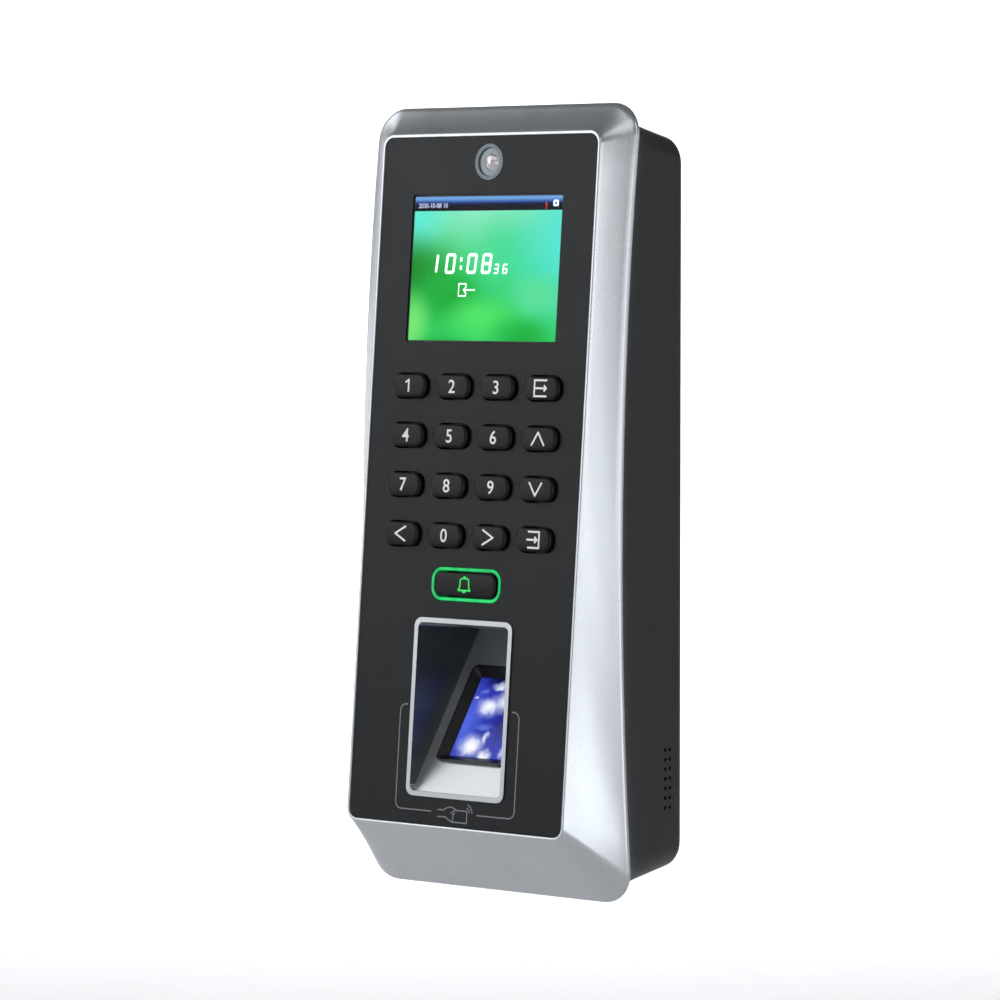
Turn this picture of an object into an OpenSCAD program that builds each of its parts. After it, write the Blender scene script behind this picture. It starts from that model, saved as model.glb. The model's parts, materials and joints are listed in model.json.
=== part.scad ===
// Wall-mounted fingerprint terminal with colour display, keypad, camera and card reader.
// The origin is the centre of the wall plate's back face. +Z is up, the front faces -Y.
// Positions on the front panel are given as u (across), v (up the panel) and h (out of it).

/* [Overall size] */
// Width across the silver bezel
width = 86; // [85:0.5:88]
// Height of the silver bezel
height = 200; // [199:0.5:203]
// Outline corner radius of the bezel
corner_r = 8.5; // [7:0.5:10]
// Depth of the bezel's rear edge in front of the wall, at the top
edge_depth_top = 24.1; // [23:0.1:25]
// Depth of the bezel's rear edge in front of the wall, at the bottom
edge_depth_bottom = 27.5; // [27:0.1:28.5]
// Extra depth of that edge at mid height, where it bows towards the front
edge_bow = 5.6; // [4.5:0.1:6]

/* [Front panel] */
// Backward lean of the panel in degrees
panel_tilt = 4.8; // [4.5:0.1:5]
// Depth of the panel's face in front of the wall at its reference height
panel_depth = 38.4; // [38:0.1:39]
// Height of the panel's reference line above the origin
panel_ref_z = 12.7; // [12.5:0.1:13]
// Width of the panel
panel_w = 70.5; // [70:0.1:71]
// Top edge of the panel
panel_v_top = 79.7; // [79:0.1:80]
// Bottom edge of the panel
panel_v_bottom = -95.2; // [-95.5:0.1:-95]
// Thickness of the panel
panel_t = 2.5; // [2.4:0.1:2.6]
// Corner radius of the panel
panel_r = 2.5; // [2:0.1:3]
// Width of the bright rim round the panel
rim_w = 0.9; // [0.8:0.1:1.1]

/* [Display and camera] */
// Height of the display's centre on the panel
display_v = 46.2; // [46:0.1:46.5]
// Width of the lit area
display_w = 48.96; // [48.5:0.01:49.2]
// Height of the lit area
display_h = 36.72; // [36.5:0.01:37]
// Height of the camera on the panel
camera_v = 73.2; // [73:0.1:73.5]
// Outer radius of the camera's ring
camera_r = 4.65; // [4.5:0.05:4.7]

/* [Keys] */
// Distance from one key column to the next
key_pitch_u = 14.7; // [14.6:0.1:14.8]
// Distance from one key row to the next
key_pitch_v = 12.62; // [12.5:0.02:12.7]
// Height of the first key row on the panel
key_row_v = 16.1; // [16:0.1:16.3]
// Width of a key cap
key_w = 11.6; // [11.4:0.1:11.8]
// Height of a key cap
key_h = 6.0; // [5.8:0.1:6.2]
// Corner radius of a key cap
key_r = 2.8; // [2.6:0.1:2.9]
// Room round a key cap in the panel
key_gap = 0.4; // [0.35:0.05:0.45]
// How far a key cap stands out of the panel
key_proud = 1.35; // [1.2:0.05:1.5]
// Inward travel of a key
key_travel = 0.9; // [0.7:0.1:0.9]
// Height of the bell key on the panel
bell_v = -33.95; // [-34.1:0.05:-33.8]
// How far the bell key stands out of the panel
bell_proud = 0.8; // [0.7:0.05:1.2]
// Corner radius of the light ring round the bell key
bell_ring_r = 3.4; // [3.2:0.1:4]
// Width of the light ring round the bell key
bell_ring_w = 23.2; // [23:0.1:23.5]
// Height of the light ring round the bell key
bell_ring_h = 8.65; // [8.6:0.05:8.8]

/* [Finger well] */
// Top edge of the well's rim on the panel
well_v_top = -42.74; // [-42.8:0.02:-42.7]
// Bottom edge of the well's rim on the panel
well_v_bottom = -88.12; // [-88.2:0.02:-88]
// Outer width of the well's rim
well_w = 32.5; // [32.4:0.1:32.6]
// Thickness of the well's walls
well_wall = 1.25; // [1.2:0.05:1.3]

/* [Rear casing] */
// Inset of the casing's back from the bezel, at each side
casing_inset_side = 6.5; // [6:0.1:6.8]
// Inset of the casing's back from the bezel, at the top
casing_inset_top = 7.7; // [7.4:0.1:7.8]
// Inset of the casing's back from the bezel, at the bottom
casing_inset_bottom = 5.9; // [5.6:0.1:6.1]
// Thickness of the casing's wall
casing_wall = 2.2; // [2.1:0.1:2.4]
// Diameter of the sound holes in the right side
sound_hole_d = 1.1; // [1:0.1:1.2]

/* [Wall plate] */
// Thickness of the steel wall plate
plate_t = 1.6; // [1.5:0.1:1.6]
// Distance between the plate's wall screws, across
plate_screws_x = 40; // [38:1:42]
// Distance between the plate's wall screws, up
plate_screws_z = 120; // [116:2:124]
// Diameter of the plate's wall screw holes
plate_hole_d = 4.5; // [4.2:0.1:5]

/* [Hidden] */
$fn = 48;
eps = 0.01;

// Colours
silver = [0.78, 0.80, 0.83];
matt_black = [0.13, 0.14, 0.15];
key_black = [0.05, 0.05, 0.06];
board_green = [0.05, 0.30, 0.14];
steel = [0.62, 0.63, 0.65];

// Outline steps of the lofted shells: points along each side and round each corner
side_steps = 8;
corner_steps = 5;

half_w = width / 2;
half_h = height / 2;
key_size = [key_w, key_h];
bell_ring_size = [bell_ring_w, bell_ring_h];
bell_ring_wall = 1.0;
bell_size = bell_ring_size - 2 * (bell_ring_wall + key_gap) * [1, 1];
sound_rows = 7;
sound_row_pitch = 2.45;
sound_col_pitch = 2.2;
sound_z = -70.5;
sound_y = -6.36;

// Bezel shell
edge_band = 1.0;
bezel_wall_at_edge = 3.0;
rim_proud = 0.25;
ledge_w = 2.0;
ledge_t = 1.8;
panel_fit = 0.1;

// Depths below the panel's face that the parts behind it share
key_flange_top = -panel_t - 0.3;
key_flange_t = 0.8;
bell_flange_top = -3.9;
key_stem_end = -5.0;
key_stem_r = 1.3;
mat_top = key_stem_end - key_travel - 0.2;
mat_t = 0.9;
mat_ring_top = -4.9;
keyboard_top = mat_top - mat_t;
keyboard_t = 1.6;
lcd_front = -2.9;
lcd_t = 2.5;
bracket_t = 0.6;
camera_flange = [10.8, 9.4];
camera_flange_drop = 0.6;
lcd_size = [58, 43];

// Main board and back wall, as distances along Y
board_front = -16.0;
board_back = -14.4;
back_wall_front = -4.0;
back_wall_back = -1.8;
plate_front = -plate_t;

// Screw places
casing_posts = [[31.2, 84], [31.2, 34], [31.2, -89]];
casing_head_y = -16;
board_posts = [[23.5, 77], [23.5, -30]];
bracket_post_u = 31.3;
bracket_post_dv = 16.5;

// Finger well, with its floor running from the front at the bottom to the back at the top
floor_bottom = [-44.8, -73.9];
floor_top = [-18.5, -34.2];
floor_pitch = atan2(floor_top[1] - floor_bottom[1], floor_top[0] - floor_bottom[0]);
floor_t = 1.6;
well_mid_v = (well_v_top + well_v_bottom) / 2;
well_h = well_v_top - well_v_bottom;
sensor_mid = 22.65;
sensor_frame_size = [22.5, 28.1];
sensor_glass_size = [17.6, 22.9];
sensor_glass_top = -1.1;
sensor_frame_proud = 0.8;
sensor_frame_land = 0.5;
sensor_plug_size = [20.8, 26.2];
housing_depth = 14;

// Cable opening at the back
port_min = [-19.6, -37];
port_max = [19.6, -7];

function mix(a, b, t) = a + (b - a) * t;
function edge_y(z) =
  let (t = (z + half_h) / height)
  -(mix(edge_depth_bottom, edge_depth_top, t) + edge_bow * 4 * t * (1 - t));
function panel_point(u, v, h) = [
  u,
  -panel_depth + v * sin(panel_tilt) - h * cos(panel_tilt),
  panel_ref_z + v * cos(panel_tilt) + h * sin(panel_tilt)
];
function panel_yz(v, h) = [panel_point(0, v, h)[1], panel_point(0, v, h)[2]];

// Rounded outline as [x, z] points, up the right side first and then anticlockwise
function corner(cx, cz, r, start) = [
  for (i = [0 : corner_steps])
    let (a = start + 90 * i / corner_steps)
    [cx + r * cos(a), cz + r * sin(a)]
];
function outline(hx, top, bottom, r) = concat(
  [for (i = [1 : side_steps - 1]) [hx, mix(bottom + r, top - r, i / side_steps)]],
  corner(hx - r, top - r, r, 0),
  corner(-hx + r, top - r, r, 90),
  [for (i = [1 : side_steps - 1]) [-hx, mix(top - r, bottom + r, i / side_steps)]],
  corner(-hx + r, bottom + r, r, 180),
  corner(hx - r, bottom + r, r, 270)
);
// Loops of the bezel: one on the panel's plane, the other on the bowed rear edge
function panel_loop(grow, h) = [
  for (p = outline(panel_w / 2 + grow, panel_v_top + grow, panel_v_bottom - grow,
                   max(panel_r + grow, 0.6)))
    panel_point(p[0], p[1], h)
];
function edge_loop(inset, forward) = [
  for (p = outline(half_w - inset, half_h - inset, -half_h + inset, corner_r - inset))
    [p[0], edge_y(p[1]) - forward, p[1]]
];
// Loops of the casing: a concave neck behind the bezel, then a steady draft to the wall
neck_share = 0.38;
neck_sharpness = 13.5;
casing_lip = 0.4;
casing_rim = 3.0;
// Seal groove in the casing's front edge: its outer wall, inner wall and depth
groove_from = 1.4;
groove_to = 2.3;
groove_depth = 0.7;
function casing_shrink(s) = neck_share * (1 - exp(-s * neck_sharpness)) + (1 - neck_share) * s;
function casing_loop(s, wall, back = 0) =
  let (g = casing_shrink(s))
  [
    for (p = outline(half_w - casing_lip - (casing_inset_side - casing_lip) * g - wall,
                     half_h - casing_lip - (casing_inset_top - casing_lip) * g - wall,
                     -half_h + casing_lip + (casing_inset_bottom - casing_lip) * g + wall,
                     mix(corner_r, 7, s) - wall))
      [p[0], edge_y(p[1]) * (1 - s) + back, p[1]]
  ];

// Closed ring skinned over a list of equal loops, the last joined to the first
module ring_loft(loops) {
  n = len(loops[0]);
  m = len(loops);
  function at(i, j) = (i % m) * n + (j % n);
  points = [for (l = loops) for (p = l) p];
  faces = [
    for (i = [0 : m - 1])
      for (j = [0 : n - 1])
        for (f = [[at(i, j), at(i, j + 1), at(i + 1, j + 1)],
                  [at(i, j), at(i + 1, j + 1), at(i + 1, j)]])
          f
  ];
  polyhedron(points, faces);
}

// Plane shapes
module rrect(size, r) {
  square([size[0] - 2 * r, size[1]], center = true);
  square([size[0], size[1] - 2 * r], center = true);
  for (x = [-1, 1], y = [-1, 1])
    translate([x * (size[0] / 2 - r), y * (size[1] / 2 - r)]) circle(r);
}
module slab(size, r, bottom, top) {
  translate([0, 0, bottom]) linear_extrude(top - bottom) rrect(size, r);
}
module disc(r, bottom, top) {
  translate([0, 0, bottom]) cylinder(r = r, h = top - bottom);
}
module block(low, high) {
  translate(low) cube(high - low);
}

// Local frames: on the panel's face, on the well's floor, along Y, and a profile swept across X
module on_panel(u = 0, v = 0) {
  translate(panel_point(u, v, 0)) rotate([90 - panel_tilt, 0, 0]) children();
}
module on_floor(s = 0) {
  translate([0, floor_bottom[0], floor_bottom[1]])
    rotate([floor_pitch, 0, 0]) translate([0, s, 0]) children();
}
module along_y(x, z, from, to, r) {
  translate([x, to, z]) rotate([90, 0, 0]) cylinder(r = r, h = to - from);
}
module across_x(w) {
  rotate([90, 0, 90]) linear_extrude(w, center = true) children();
}
module slab_y(size, r, x, z, from, to) {
  translate([x, to, z]) rotate([90, 0, 0]) linear_extrude(to - from) rrect(size, r);
}
module mirrored_x() {
  children();
  mirror([1, 0, 0]) children();
}

// Flat ribbon of thickness t whose middle follows points in the YZ plane
function unit(a) = a / norm(a);
function side_of(path, i) =
  let (a = path[max(i - 1, 0)], b = path[min(i + 1, len(path) - 1)], d = unit(b - a))
  [-d[1], d[0]];
module ribbon(path, w, t) {
  across_x(w) polygon(concat(
    [for (i = [0 : len(path) - 1]) path[i] + side_of(path, i) * t / 2],
    [for (i = [len(path) - 1 : -1 : 0]) path[i] - side_of(path, i) * t / 2]
  ));
}
// Round lead through points, as a closed tube
module lead(path, r, sides = 8) {
  n = len(path);
  function ahead(i) = unit(path[min(i + 1, n - 1)] - path[max(i - 1, 0)]);
  function across(i) = unit(cross(ahead(i), [0.31, 0.22, 0.93]));
  function rise(i) = cross(ahead(i), across(i));
  points = [
    for (i = [0 : n - 1]) for (k = [0 : sides - 1])
      let (a = 360 * k / sides)
      path[i] + r * (cos(a) * across(i) + sin(a) * rise(i))
  ];
  walls = [
    for (i = [0 : n - 2]) for (k = [0 : sides - 1])
      for (f = [[i * sides + k, (i + 1) * sides + k, (i + 1) * sides + (k + 1) % sides],
                [i * sides + k, (i + 1) * sides + (k + 1) % sides, i * sides + (k + 1) % sides]])
        f
  ];
  start_cap = [for (k = [0 : sides - 1]) k];
  end_cap = [for (k = [sides - 1 : -1 : 0]) (n - 1) * sides + k];
  polyhedron(points, concat(walls, [start_cap, end_cap]));
}

// Silver bezel: bright rim, ledge for the panel, bevelled skirt and screw bosses
module front_bezel() {
  color(silver) difference() {
    union() {
      ring_loft([
        panel_loop(panel_fit, -panel_t),
        panel_loop(panel_fit, rim_proud),
        panel_loop(rim_w, rim_proud),
        edge_loop(0, edge_band),
        edge_loop(0, 0),
        edge_loop(bezel_wall_at_edge, 0),
        panel_loop(1.2, -panel_t - ledge_t),
        panel_loop(-ledge_w, -panel_t - ledge_t),
        panel_loop(-ledge_w, -panel_t)
      ]);
      mirrored_x() for (p = casing_posts) bezel_boss(p);
    }
    mirrored_x() for (p = casing_posts)
      along_y(p[0], p[1], boss_front(p) + 1.2, edge_y(p[1]) + 1, 1.25);
  }
}
// The bosses start inside the skirt, or at the panel's back where the panel covers them
function boss_front(p) = p[1] < panel_point(0, panel_v_bottom, 0)[2]
  ? edge_y(p[1]) - 8.4
  : panel_point(0, (p[1] - panel_ref_z) / cos(panel_tilt), -panel_t)[1] + 0.4;
module bezel_boss(p) {
  along_y(p[0], p[1], boss_front(p), edge_y(p[1]) - 0.2, 3.2);
}

// Key places: columns count from the left, rows from the top
function key_u(col) = (col - 1.5) * key_pitch_u;
function key_v(row) = key_row_v - row * key_pitch_v;

// Black front panel with its openings, and posts for the boards behind it
module front_panel() {
  color(matt_black) on_panel() difference() {
    union() {
      translate([0, (panel_v_top + panel_v_bottom) / 2, 0])
        slab([panel_w, panel_v_top - panel_v_bottom], panel_r, -panel_t, 0);
      panel_posts(1.7, 0);
    }
    panel_posts(0.85, 1);
    translate([0, display_v, 0]) {
      slab([display_w + 1.0, display_h + 1.0], 0.8, -panel_t - 1, 1);
      slab([display_w + 4.2, display_h + 4.2], 1, -panel_t - 1, -1.2);
    }
    translate([0, camera_v, 0]) disc(camera_r + 0.05, -panel_t - 1, 1);
    for (row = [0 : 3], col = [0 : 3])
      translate([key_u(col), key_v(row), 0])
        slab(key_size + 2 * [key_gap, key_gap], key_r + key_gap - 0.1, -panel_t - 1, 1);
    translate([0, bell_v, 0])
      slab(bell_ring_size + [0.2, 0.2], bell_ring_r + 0.1, -panel_t - 1, 1);
    translate([0, well_mid_v, 0]) slab([well_w + 0.2, well_h + 0.2], 2.4, -panel_t - 1, 1);
  }
}
module panel_posts(r, over) {
  for (u = [-1, 1], d = [-1, 1]) {
    translate([u * bracket_post_u, display_v + d * bracket_post_dv, 0])
      disc(r, lcd_front - lcd_t - over, -panel_t + eps + (over > 0 ? -eps : 0));
    translate([u * key_pitch_u, key_v(1.5 + d), 0])
      disc(r, keyboard_top - over, -panel_t + eps + (over > 0 ? -eps : 0));
  }
}

// Display: clear window, lit module, steel bracket and its ribbon
module display_window() {
  color([0.75, 0.85, 0.9, 0.5]) on_panel(0, display_v) {
    slab([display_w + 4, display_h + 4], 0.9, -2.4, -1.2);
    slab([display_w + 0.8, display_h + 0.8], 0.7, -1.2, -0.1);
  }
}
module display_module() {
  color([0.2, 0.6, 0.3]) on_panel(0, display_v) slab(lcd_size, 1, lcd_front - lcd_t, lcd_front);
}
module display_bracket() {
  back = lcd_front - lcd_t;
  color(steel) on_panel(0, display_v) difference() {
    union() {
      slab([lcd_size[0], lcd_size[1]], 1, back - bracket_t, back);
      for (d = [-1, 1])
        translate([0, d * bracket_post_dv, 0])
          slab([2 * bracket_post_u + 3.6, 5], 1.5, back - bracket_t, back);
    }
    slab([38, 24], 2, back - bracket_t - 1, back + 1);
    for (u = [-1, 1], d = [-1, 1])
      translate([u * bracket_post_u, d * bracket_post_dv, 0])
        disc(1.15, back - bracket_t - 1, back + 1);
  }
}
module display_ribbon() {
  start = panel_yz(display_v - 6, lcd_front - lcd_t - 0.1);
  color([0.85, 0.55, 0.2])
    ribbon([start, start + [2.6, -0.6], start + [5.4, -4], start + [7.4, -10],
            [board_front - 3.4, 38], [board_front - 1.6, 36], [board_front - 0.1, 35.6]], 22, 0.2);
}

// Camera above the display
module camera_ring() {
  color([0.45, 0.47, 0.49]) on_panel(0, camera_v) difference() {
    union() {
      disc(camera_r, -panel_t, 0.15);
      translate([0, -camera_flange_drop, 0]) slab(camera_flange, 2, -panel_t - 1, -panel_t);
    }
    disc(camera_r - 1.05, -panel_t - 2, 1);
  }
}
module camera_window() {
  color([0.2, 0.22, 0.24, 0.6]) on_panel(0, camera_v) disc(camera_r - 1.1, -1.3, -0.4);
}
module camera_lens() {
  color([0.3, 0.25, 0.35, 0.7]) on_panel(0, camera_v) intersection() {
    translate([0, 0, -5.1]) sphere(3.2);
    disc(2.0, -3.2, -1.4);
  }
}
module camera_module() {
  color([0.1, 0.1, 0.1]) on_panel(0, camera_v) {
    disc(3.0, -6, -3.2);
    slab([10, 9.6], 0.6, -7.2, -6);
  }
}

// Key cap with a retaining flange behind the panel and a stem that works the contact
module key_body(size, r, flange_top, proud) {
  slab(size - [0.9, 0.9], r - 0.45, proud - 0.35, proud);
  slab(size, r, flange_top, proud - 0.35);
  slab(size + [2, 2], r + 0.6, flange_top - key_flange_t, flange_top);
  disc(key_stem_r, key_stem_end, flange_top - key_flange_t);
}
module key_at(col, row) {
  color(key_black) on_panel(key_u(col), key_v(row)) key_body(key_size, key_r, key_flange_top, key_proud);
}
module bell_key() {
  color(key_black) on_panel(0, bell_v) key_body(bell_size, bell_ring_r - bell_ring_wall, bell_flange_top, bell_proud);
}
module bell_light_ring() {
  color([0.1, 0.85, 0.35]) on_panel(0, bell_v) difference() {
    union() {
      slab(bell_ring_size, bell_ring_r, -panel_t, 0.2);
      slab(bell_ring_size + [3, 2.4], bell_ring_r + 1, -panel_t - 1.1, -panel_t);
    }
    slab(bell_ring_size - 2 * [bell_ring_wall, bell_ring_wall], bell_ring_r - bell_ring_wall,
         -panel_t - 2, 1);
  }
}

// Silicone contact mat: a sheet with a low ring under each key
module keypad_mat() {
  mid_v = (key_v(0) + bell_v) / 2;
  mat_h = key_v(0) - bell_v + 10.2;
  color([0.25, 0.25, 0.27]) on_panel() difference() {
    union() {
      translate([0, mid_v, 0]) slab([54.8, mat_h], 2, mat_top - mat_t, mat_top);
      for (row = [0 : 3], col = [0 : 3])
        translate([key_u(col), key_v(row), 0]) disc(2.5, mat_top - eps, mat_ring_top);
      translate([0, bell_v, 0]) disc(2.5, mat_top - eps, mat_top + 0.35);
    }
    for (row = [0 : 3], col = [0 : 3])
      translate([key_u(col), key_v(row), 0]) disc(1.7, mat_top, 0);
    translate([0, bell_v, 0]) disc(1.7, mat_top, 0);
    for (u = [-1, 1], d = [-1, 1])
      translate([u * key_pitch_u, key_v(1.5 + d), 0]) disc(2.1, mat_top - mat_t - 1, 0);
  }
}
module keypad_board() {
  mid_v = (key_v(0) + bell_v) / 2;
  board_h = key_v(0) - bell_v + 11.2;
  color(board_green) on_panel() difference() {
    translate([0, mid_v, 0]) slab([55.2, board_h], 2, keyboard_top - keyboard_t, keyboard_top);
    for (u = [-1, 1], d = [-1, 1])
      translate([u * key_pitch_u, key_v(1.5 + d), 0])
        disc(1.15, keyboard_top - keyboard_t - 1, keyboard_top + 1);
  }
}
module keypad_ribbon() {
  start = panel_yz(-4, keyboard_top - keyboard_t - 0.1);
  color([0.9, 0.9, 0.88])
    ribbon([start, start + [2, 0.3], start + [5, 2.6], start + [9, 8],
            [board_front - 2, 20.4], [board_front - 0.1, 20.8]], 12, 0.2);
}
// Small screws that hold the display bracket and the keypad board on the panel's posts
module panel_screws() {
  color(steel) on_panel() for (u = [-1, 1], d = [-1, 1]) {
    translate([u * bracket_post_u, display_v + d * bracket_post_dv, 0])
      small_screw(lcd_front - lcd_t - bracket_t, 2.4);
    translate([u * key_pitch_u, key_v(1.5 + d), 0])
      small_screw(keyboard_top - keyboard_t, 3.6);
  }
}
module small_screw(seat, length) {
  difference() {
    disc(1.6, seat - 1.1, seat);
    translate([0, 0, seat - 1.1]) cube([2.4, 0.4, 0.8], center = true);
  }
  disc(0.8, seat - eps, seat + length);
}

// Silver finger well: rim in the panel, wedge-shaped hollow and a flange behind the panel
module finger_well() {
  inner = [well_w - 2 * well_wall, well_h - 2 * well_wall];
  inside_top = well_v_top - well_wall;
  slope = [cos(floor_pitch), sin(floor_pitch)];
  back = [sin(floor_pitch), -cos(floor_pitch)] * floor_t;
  color(silver) difference() {
    union() {
      intersection() {
        on_panel(0, well_mid_v) slab([well_w, well_h], 2.3, -40, 0.4);
        across_x(well_w + 2) polygon([
          panel_yz(well_v_bottom - 2, 3),
          floor_bottom + back - slope * 8,
          floor_top + back + slope * 2,
          floor_top + [1.5, 1.3],
          panel_yz(well_v_top + 0.6, 3)
        ]);
      }
      on_panel(0, well_mid_v) {
        slab([well_w, well_h], 2.3, -panel_t - 1.1, 0.4);
        slab([well_w + 5, well_h + 4.2], 3, -panel_t - 1.1, -panel_t);
      }
    }
    intersection() {
      on_panel(0, well_mid_v) slab(inner, 1.5, -40, 4);
      across_x(well_w) polygon([
        panel_yz(well_v_bottom - 4, 6),
        floor_bottom - slope * 10,
        floor_top,
        panel_yz(inside_top, 0),
        panel_yz(inside_top, 6)
      ]);
    }
    on_floor(sensor_mid) slab(sensor_plug_size + [0.2, 0.2], 1.5, -floor_t - 1, 1);
  }
}

// Fingerprint sensor: black frame that funnels down to the glass prism, light-tight housing, board
module sensor_frame() {
  hole = sensor_glass_size + [0.2, 0.2];
  mouth = sensor_frame_size - 2 * [sensor_frame_land, sensor_frame_land];
  color(key_black) on_floor(sensor_mid) difference() {
    union() {
      slab(sensor_frame_size, 2, 0, sensor_frame_proud);
      slab(sensor_plug_size, 1.4, -floor_t, eps);
    }
    slab(hole, 0.3, -floor_t - 1, 0);
    hull() {
      slab(hole, 0.3, sensor_glass_top, sensor_glass_top + eps);
      slab(mouth, 1.5, sensor_frame_proud, sensor_frame_proud + eps);
    }
  }
}
module sensor_prism() {
  half = sensor_glass_size[1] / 2;
  color([0.35, 0.4, 0.9, 0.6]) on_floor(sensor_mid)
    across_x(sensor_glass_size[0]) polygon([
      [-half, sensor_glass_top], [half, sensor_glass_top], [half, -2.6], [3.5, -9.5], [-half, -3.8]
    ]);
}
module sensor_housing() {
  color([0.12, 0.12, 0.13]) on_floor(sensor_mid) difference() {
    block([-11.5, -15, -floor_t - housing_depth], [11.5, 14, -floor_t]);
    block([-9.8, -13.4, -floor_t - housing_depth - 1], [9.8, 12.4, -floor_t + 1]);
  }
}
module sensor_board() {
  seat = -floor_t - housing_depth;
  color(board_green) on_floor(sensor_mid) block([-12.5, -16, seat - 1.2], [12.5, 15, seat]);
  color([0.05, 0.05, 0.05]) on_floor(sensor_mid - 4) {
    block([-4, -4, seat], [4, 4, seat + 1.6]);
    disc(2.8, seat + 1.6, seat + 4.4);
  }
}
module sensor_lights() {
  seat = -floor_t - housing_depth;
  color([0.6, 0.7, 1.0]) on_floor(sensor_mid) for (u = [-1, 1], s = [-10, 4, 9])
    translate([u * 6.4, s, 0]) {
      block([-1.4, -1, seat], [1.4, 1, seat + 0.9]);
      translate([0, 0, seat + 0.9]) cylinder(r = 0.8, h = 0.5);
    }
}
module sensor_ribbon() {
  seat = -floor_t - housing_depth - 1.2;
  c = cos(floor_pitch);
  s = sin(floor_pitch);
  start = floor_bottom + [c, s] * (sensor_mid + 12.5) + [-s, c] * (seat - 0.1);
  color([0.9, 0.9, 0.88])
    ribbon([start, start + [1.2, 0.5], [-9.2, -52], [-9.3, -50], [-10.6, -45.5], [-12.6, -41],
            [board_back + 0.1, -38.8]], 10, 0.2);
}

// Card reader's antenna board, a frame round the finger well
module card_antenna() {
  top = -panel_t - 1.4;
  color([0.1, 0.25, 0.45]) on_panel() difference() {
    translate([0, -67.6, 0]) slab([59, 51], 3, top - 1, top);
    translate([0, well_mid_v, 0]) slab([well_w + 1.2, well_h + 1.0], 2.6, top - 2, top + 1);
  }
}

// Main board and what stands on it
module main_board() {
  color(board_green) difference() {
    slab_y([54.6, 122], 2, 0, 21, board_front, board_back);
    mirrored_x() for (p = board_posts)
      along_y(p[0], p[1], board_front - 1, board_back + 1, 1.6);
  }
}
module processor() {
  color([0.1, 0.1, 0.11]) {
    slab_y([19, 19], 0.5, 10, 58, board_front - 1.6, board_front);
    slab_y([12, 18], 0.4, -14, 60, board_front - 1.2, board_front);
    slab_y([10, 10], 0.4, -14, 4, board_front - 1.4, board_front);
  }
}
module coin_cell() {
  color(steel) along_y(15, 8, board_front - 4.2, board_front, 10);
}
module lock_relay() {
  color([0.1, 0.2, 0.5]) slab_y([15.6, 10.4], 0.6, -16, -18, board_front - 10.5, board_front);
}
module capacitors() {
  color([0.15, 0.15, 0.3]) for (p = [[2, -20], [12, -20], [-2, -8]])
    along_y(p[0], p[1], board_front - 8, board_front, 3.15);
}
// Cable connectors behind the opening in the casing's back
module terminal_blocks() {
  color([0.1, 0.5, 0.25]) {
    terminal_block(9.7, -30, 5);
    terminal_block(9.7, -18, 5);
    terminal_block(-12, -13, 3);
  }
}
module terminal_block(x, z, ways) {
  pitch = 3.81;
  w = ways * pitch;
  difference() {
    slab_y([w, 8], 0.4, x, z, board_back, -5.8);
    for (i = [0 : ways - 1])
      translate([x - w / 2 + pitch * (i + 0.5), 0, z]) {
        along_y(0, 1.9, -9, -5, 1.25);
        block([-1.2, -9.5, -3], [1.2, -5, -0.6]);
      }
  }
}
module network_jack() {
  color([0.75, 0.76, 0.78]) difference() {
    slab_y([16, 13.4], 0.5, -11.2, -27.6, board_back, -5.0);
    block([-17.2, -13.2, -31.0], [-5.2, -4, -24.0]);
    block([-13.2, -13.2, -32.8], [-9.2, -4, -30.9]);
  }
}
// Tamper switch, pressed by the wall plate while the terminal hangs on it
module tamper_switch() {
  color([0.1, 0.1, 0.1]) difference() {
    slab_y([7, 7], 0.6, 14, 22, board_back, -9.2);
    along_y(14, 22, -12.4, -9, 1.7);
  }
}
module tamper_plunger() {
  color([0.85, 0.85, 0.83]) {
    along_y(14, 22, -11.2, plate_front - 0.05, 1.4);
  }
}
module board_screws() {
  color(steel) mirrored_x() for (p = board_posts) {
    difference() {
      along_y(p[0], p[1], board_front - 2, board_front, 2.6);
      block([p[0] - 2, board_front - 3, p[1] - 0.4], [p[0] + 2, board_front - 1.2, p[1] + 0.4]);
    }
    along_y(p[0], p[1], board_front - eps, board_front + 7, 1.2);
  }
}

// Speaker against the sound holes in the right side, with its two leads
module speaker() {
  color([0.08, 0.08, 0.08]) difference() {
    block([25.5, -21, sound_z - 13], [34, -4.6, sound_z + 13]);
    block([33.2, -20, sound_z - 12], [35, -5.6, sound_z + 12]);
  }
  color([0.3, 0.3, 0.3]) translate([33.2 - eps, -12.8, sound_z]) rotate([0, 90, 0])
    cylinder(r = 6.4, h = 0.5);
}
module speaker_leads() {
  color([0.75, 0.1, 0.1]) lead(lead_path(0), 0.5);
  color([0.1, 0.1, 0.1]) lead(lead_path(1.6), 0.5);
}
function lead_path(shift) = [
  [27.5 + shift, -13, sound_z + 13],
  [27.5 + shift, -13, -54],
  [26 + shift, -12.2, -50],
  [22.5 + shift, -11.4, -46],
  [19 + shift, -11.6, -42.5],
  [17 + shift, -12.2, -40.2],
  [16.4 + shift, -13.2, -39.2],
  [16.4 + shift, board_back, -39.2]
];

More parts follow.
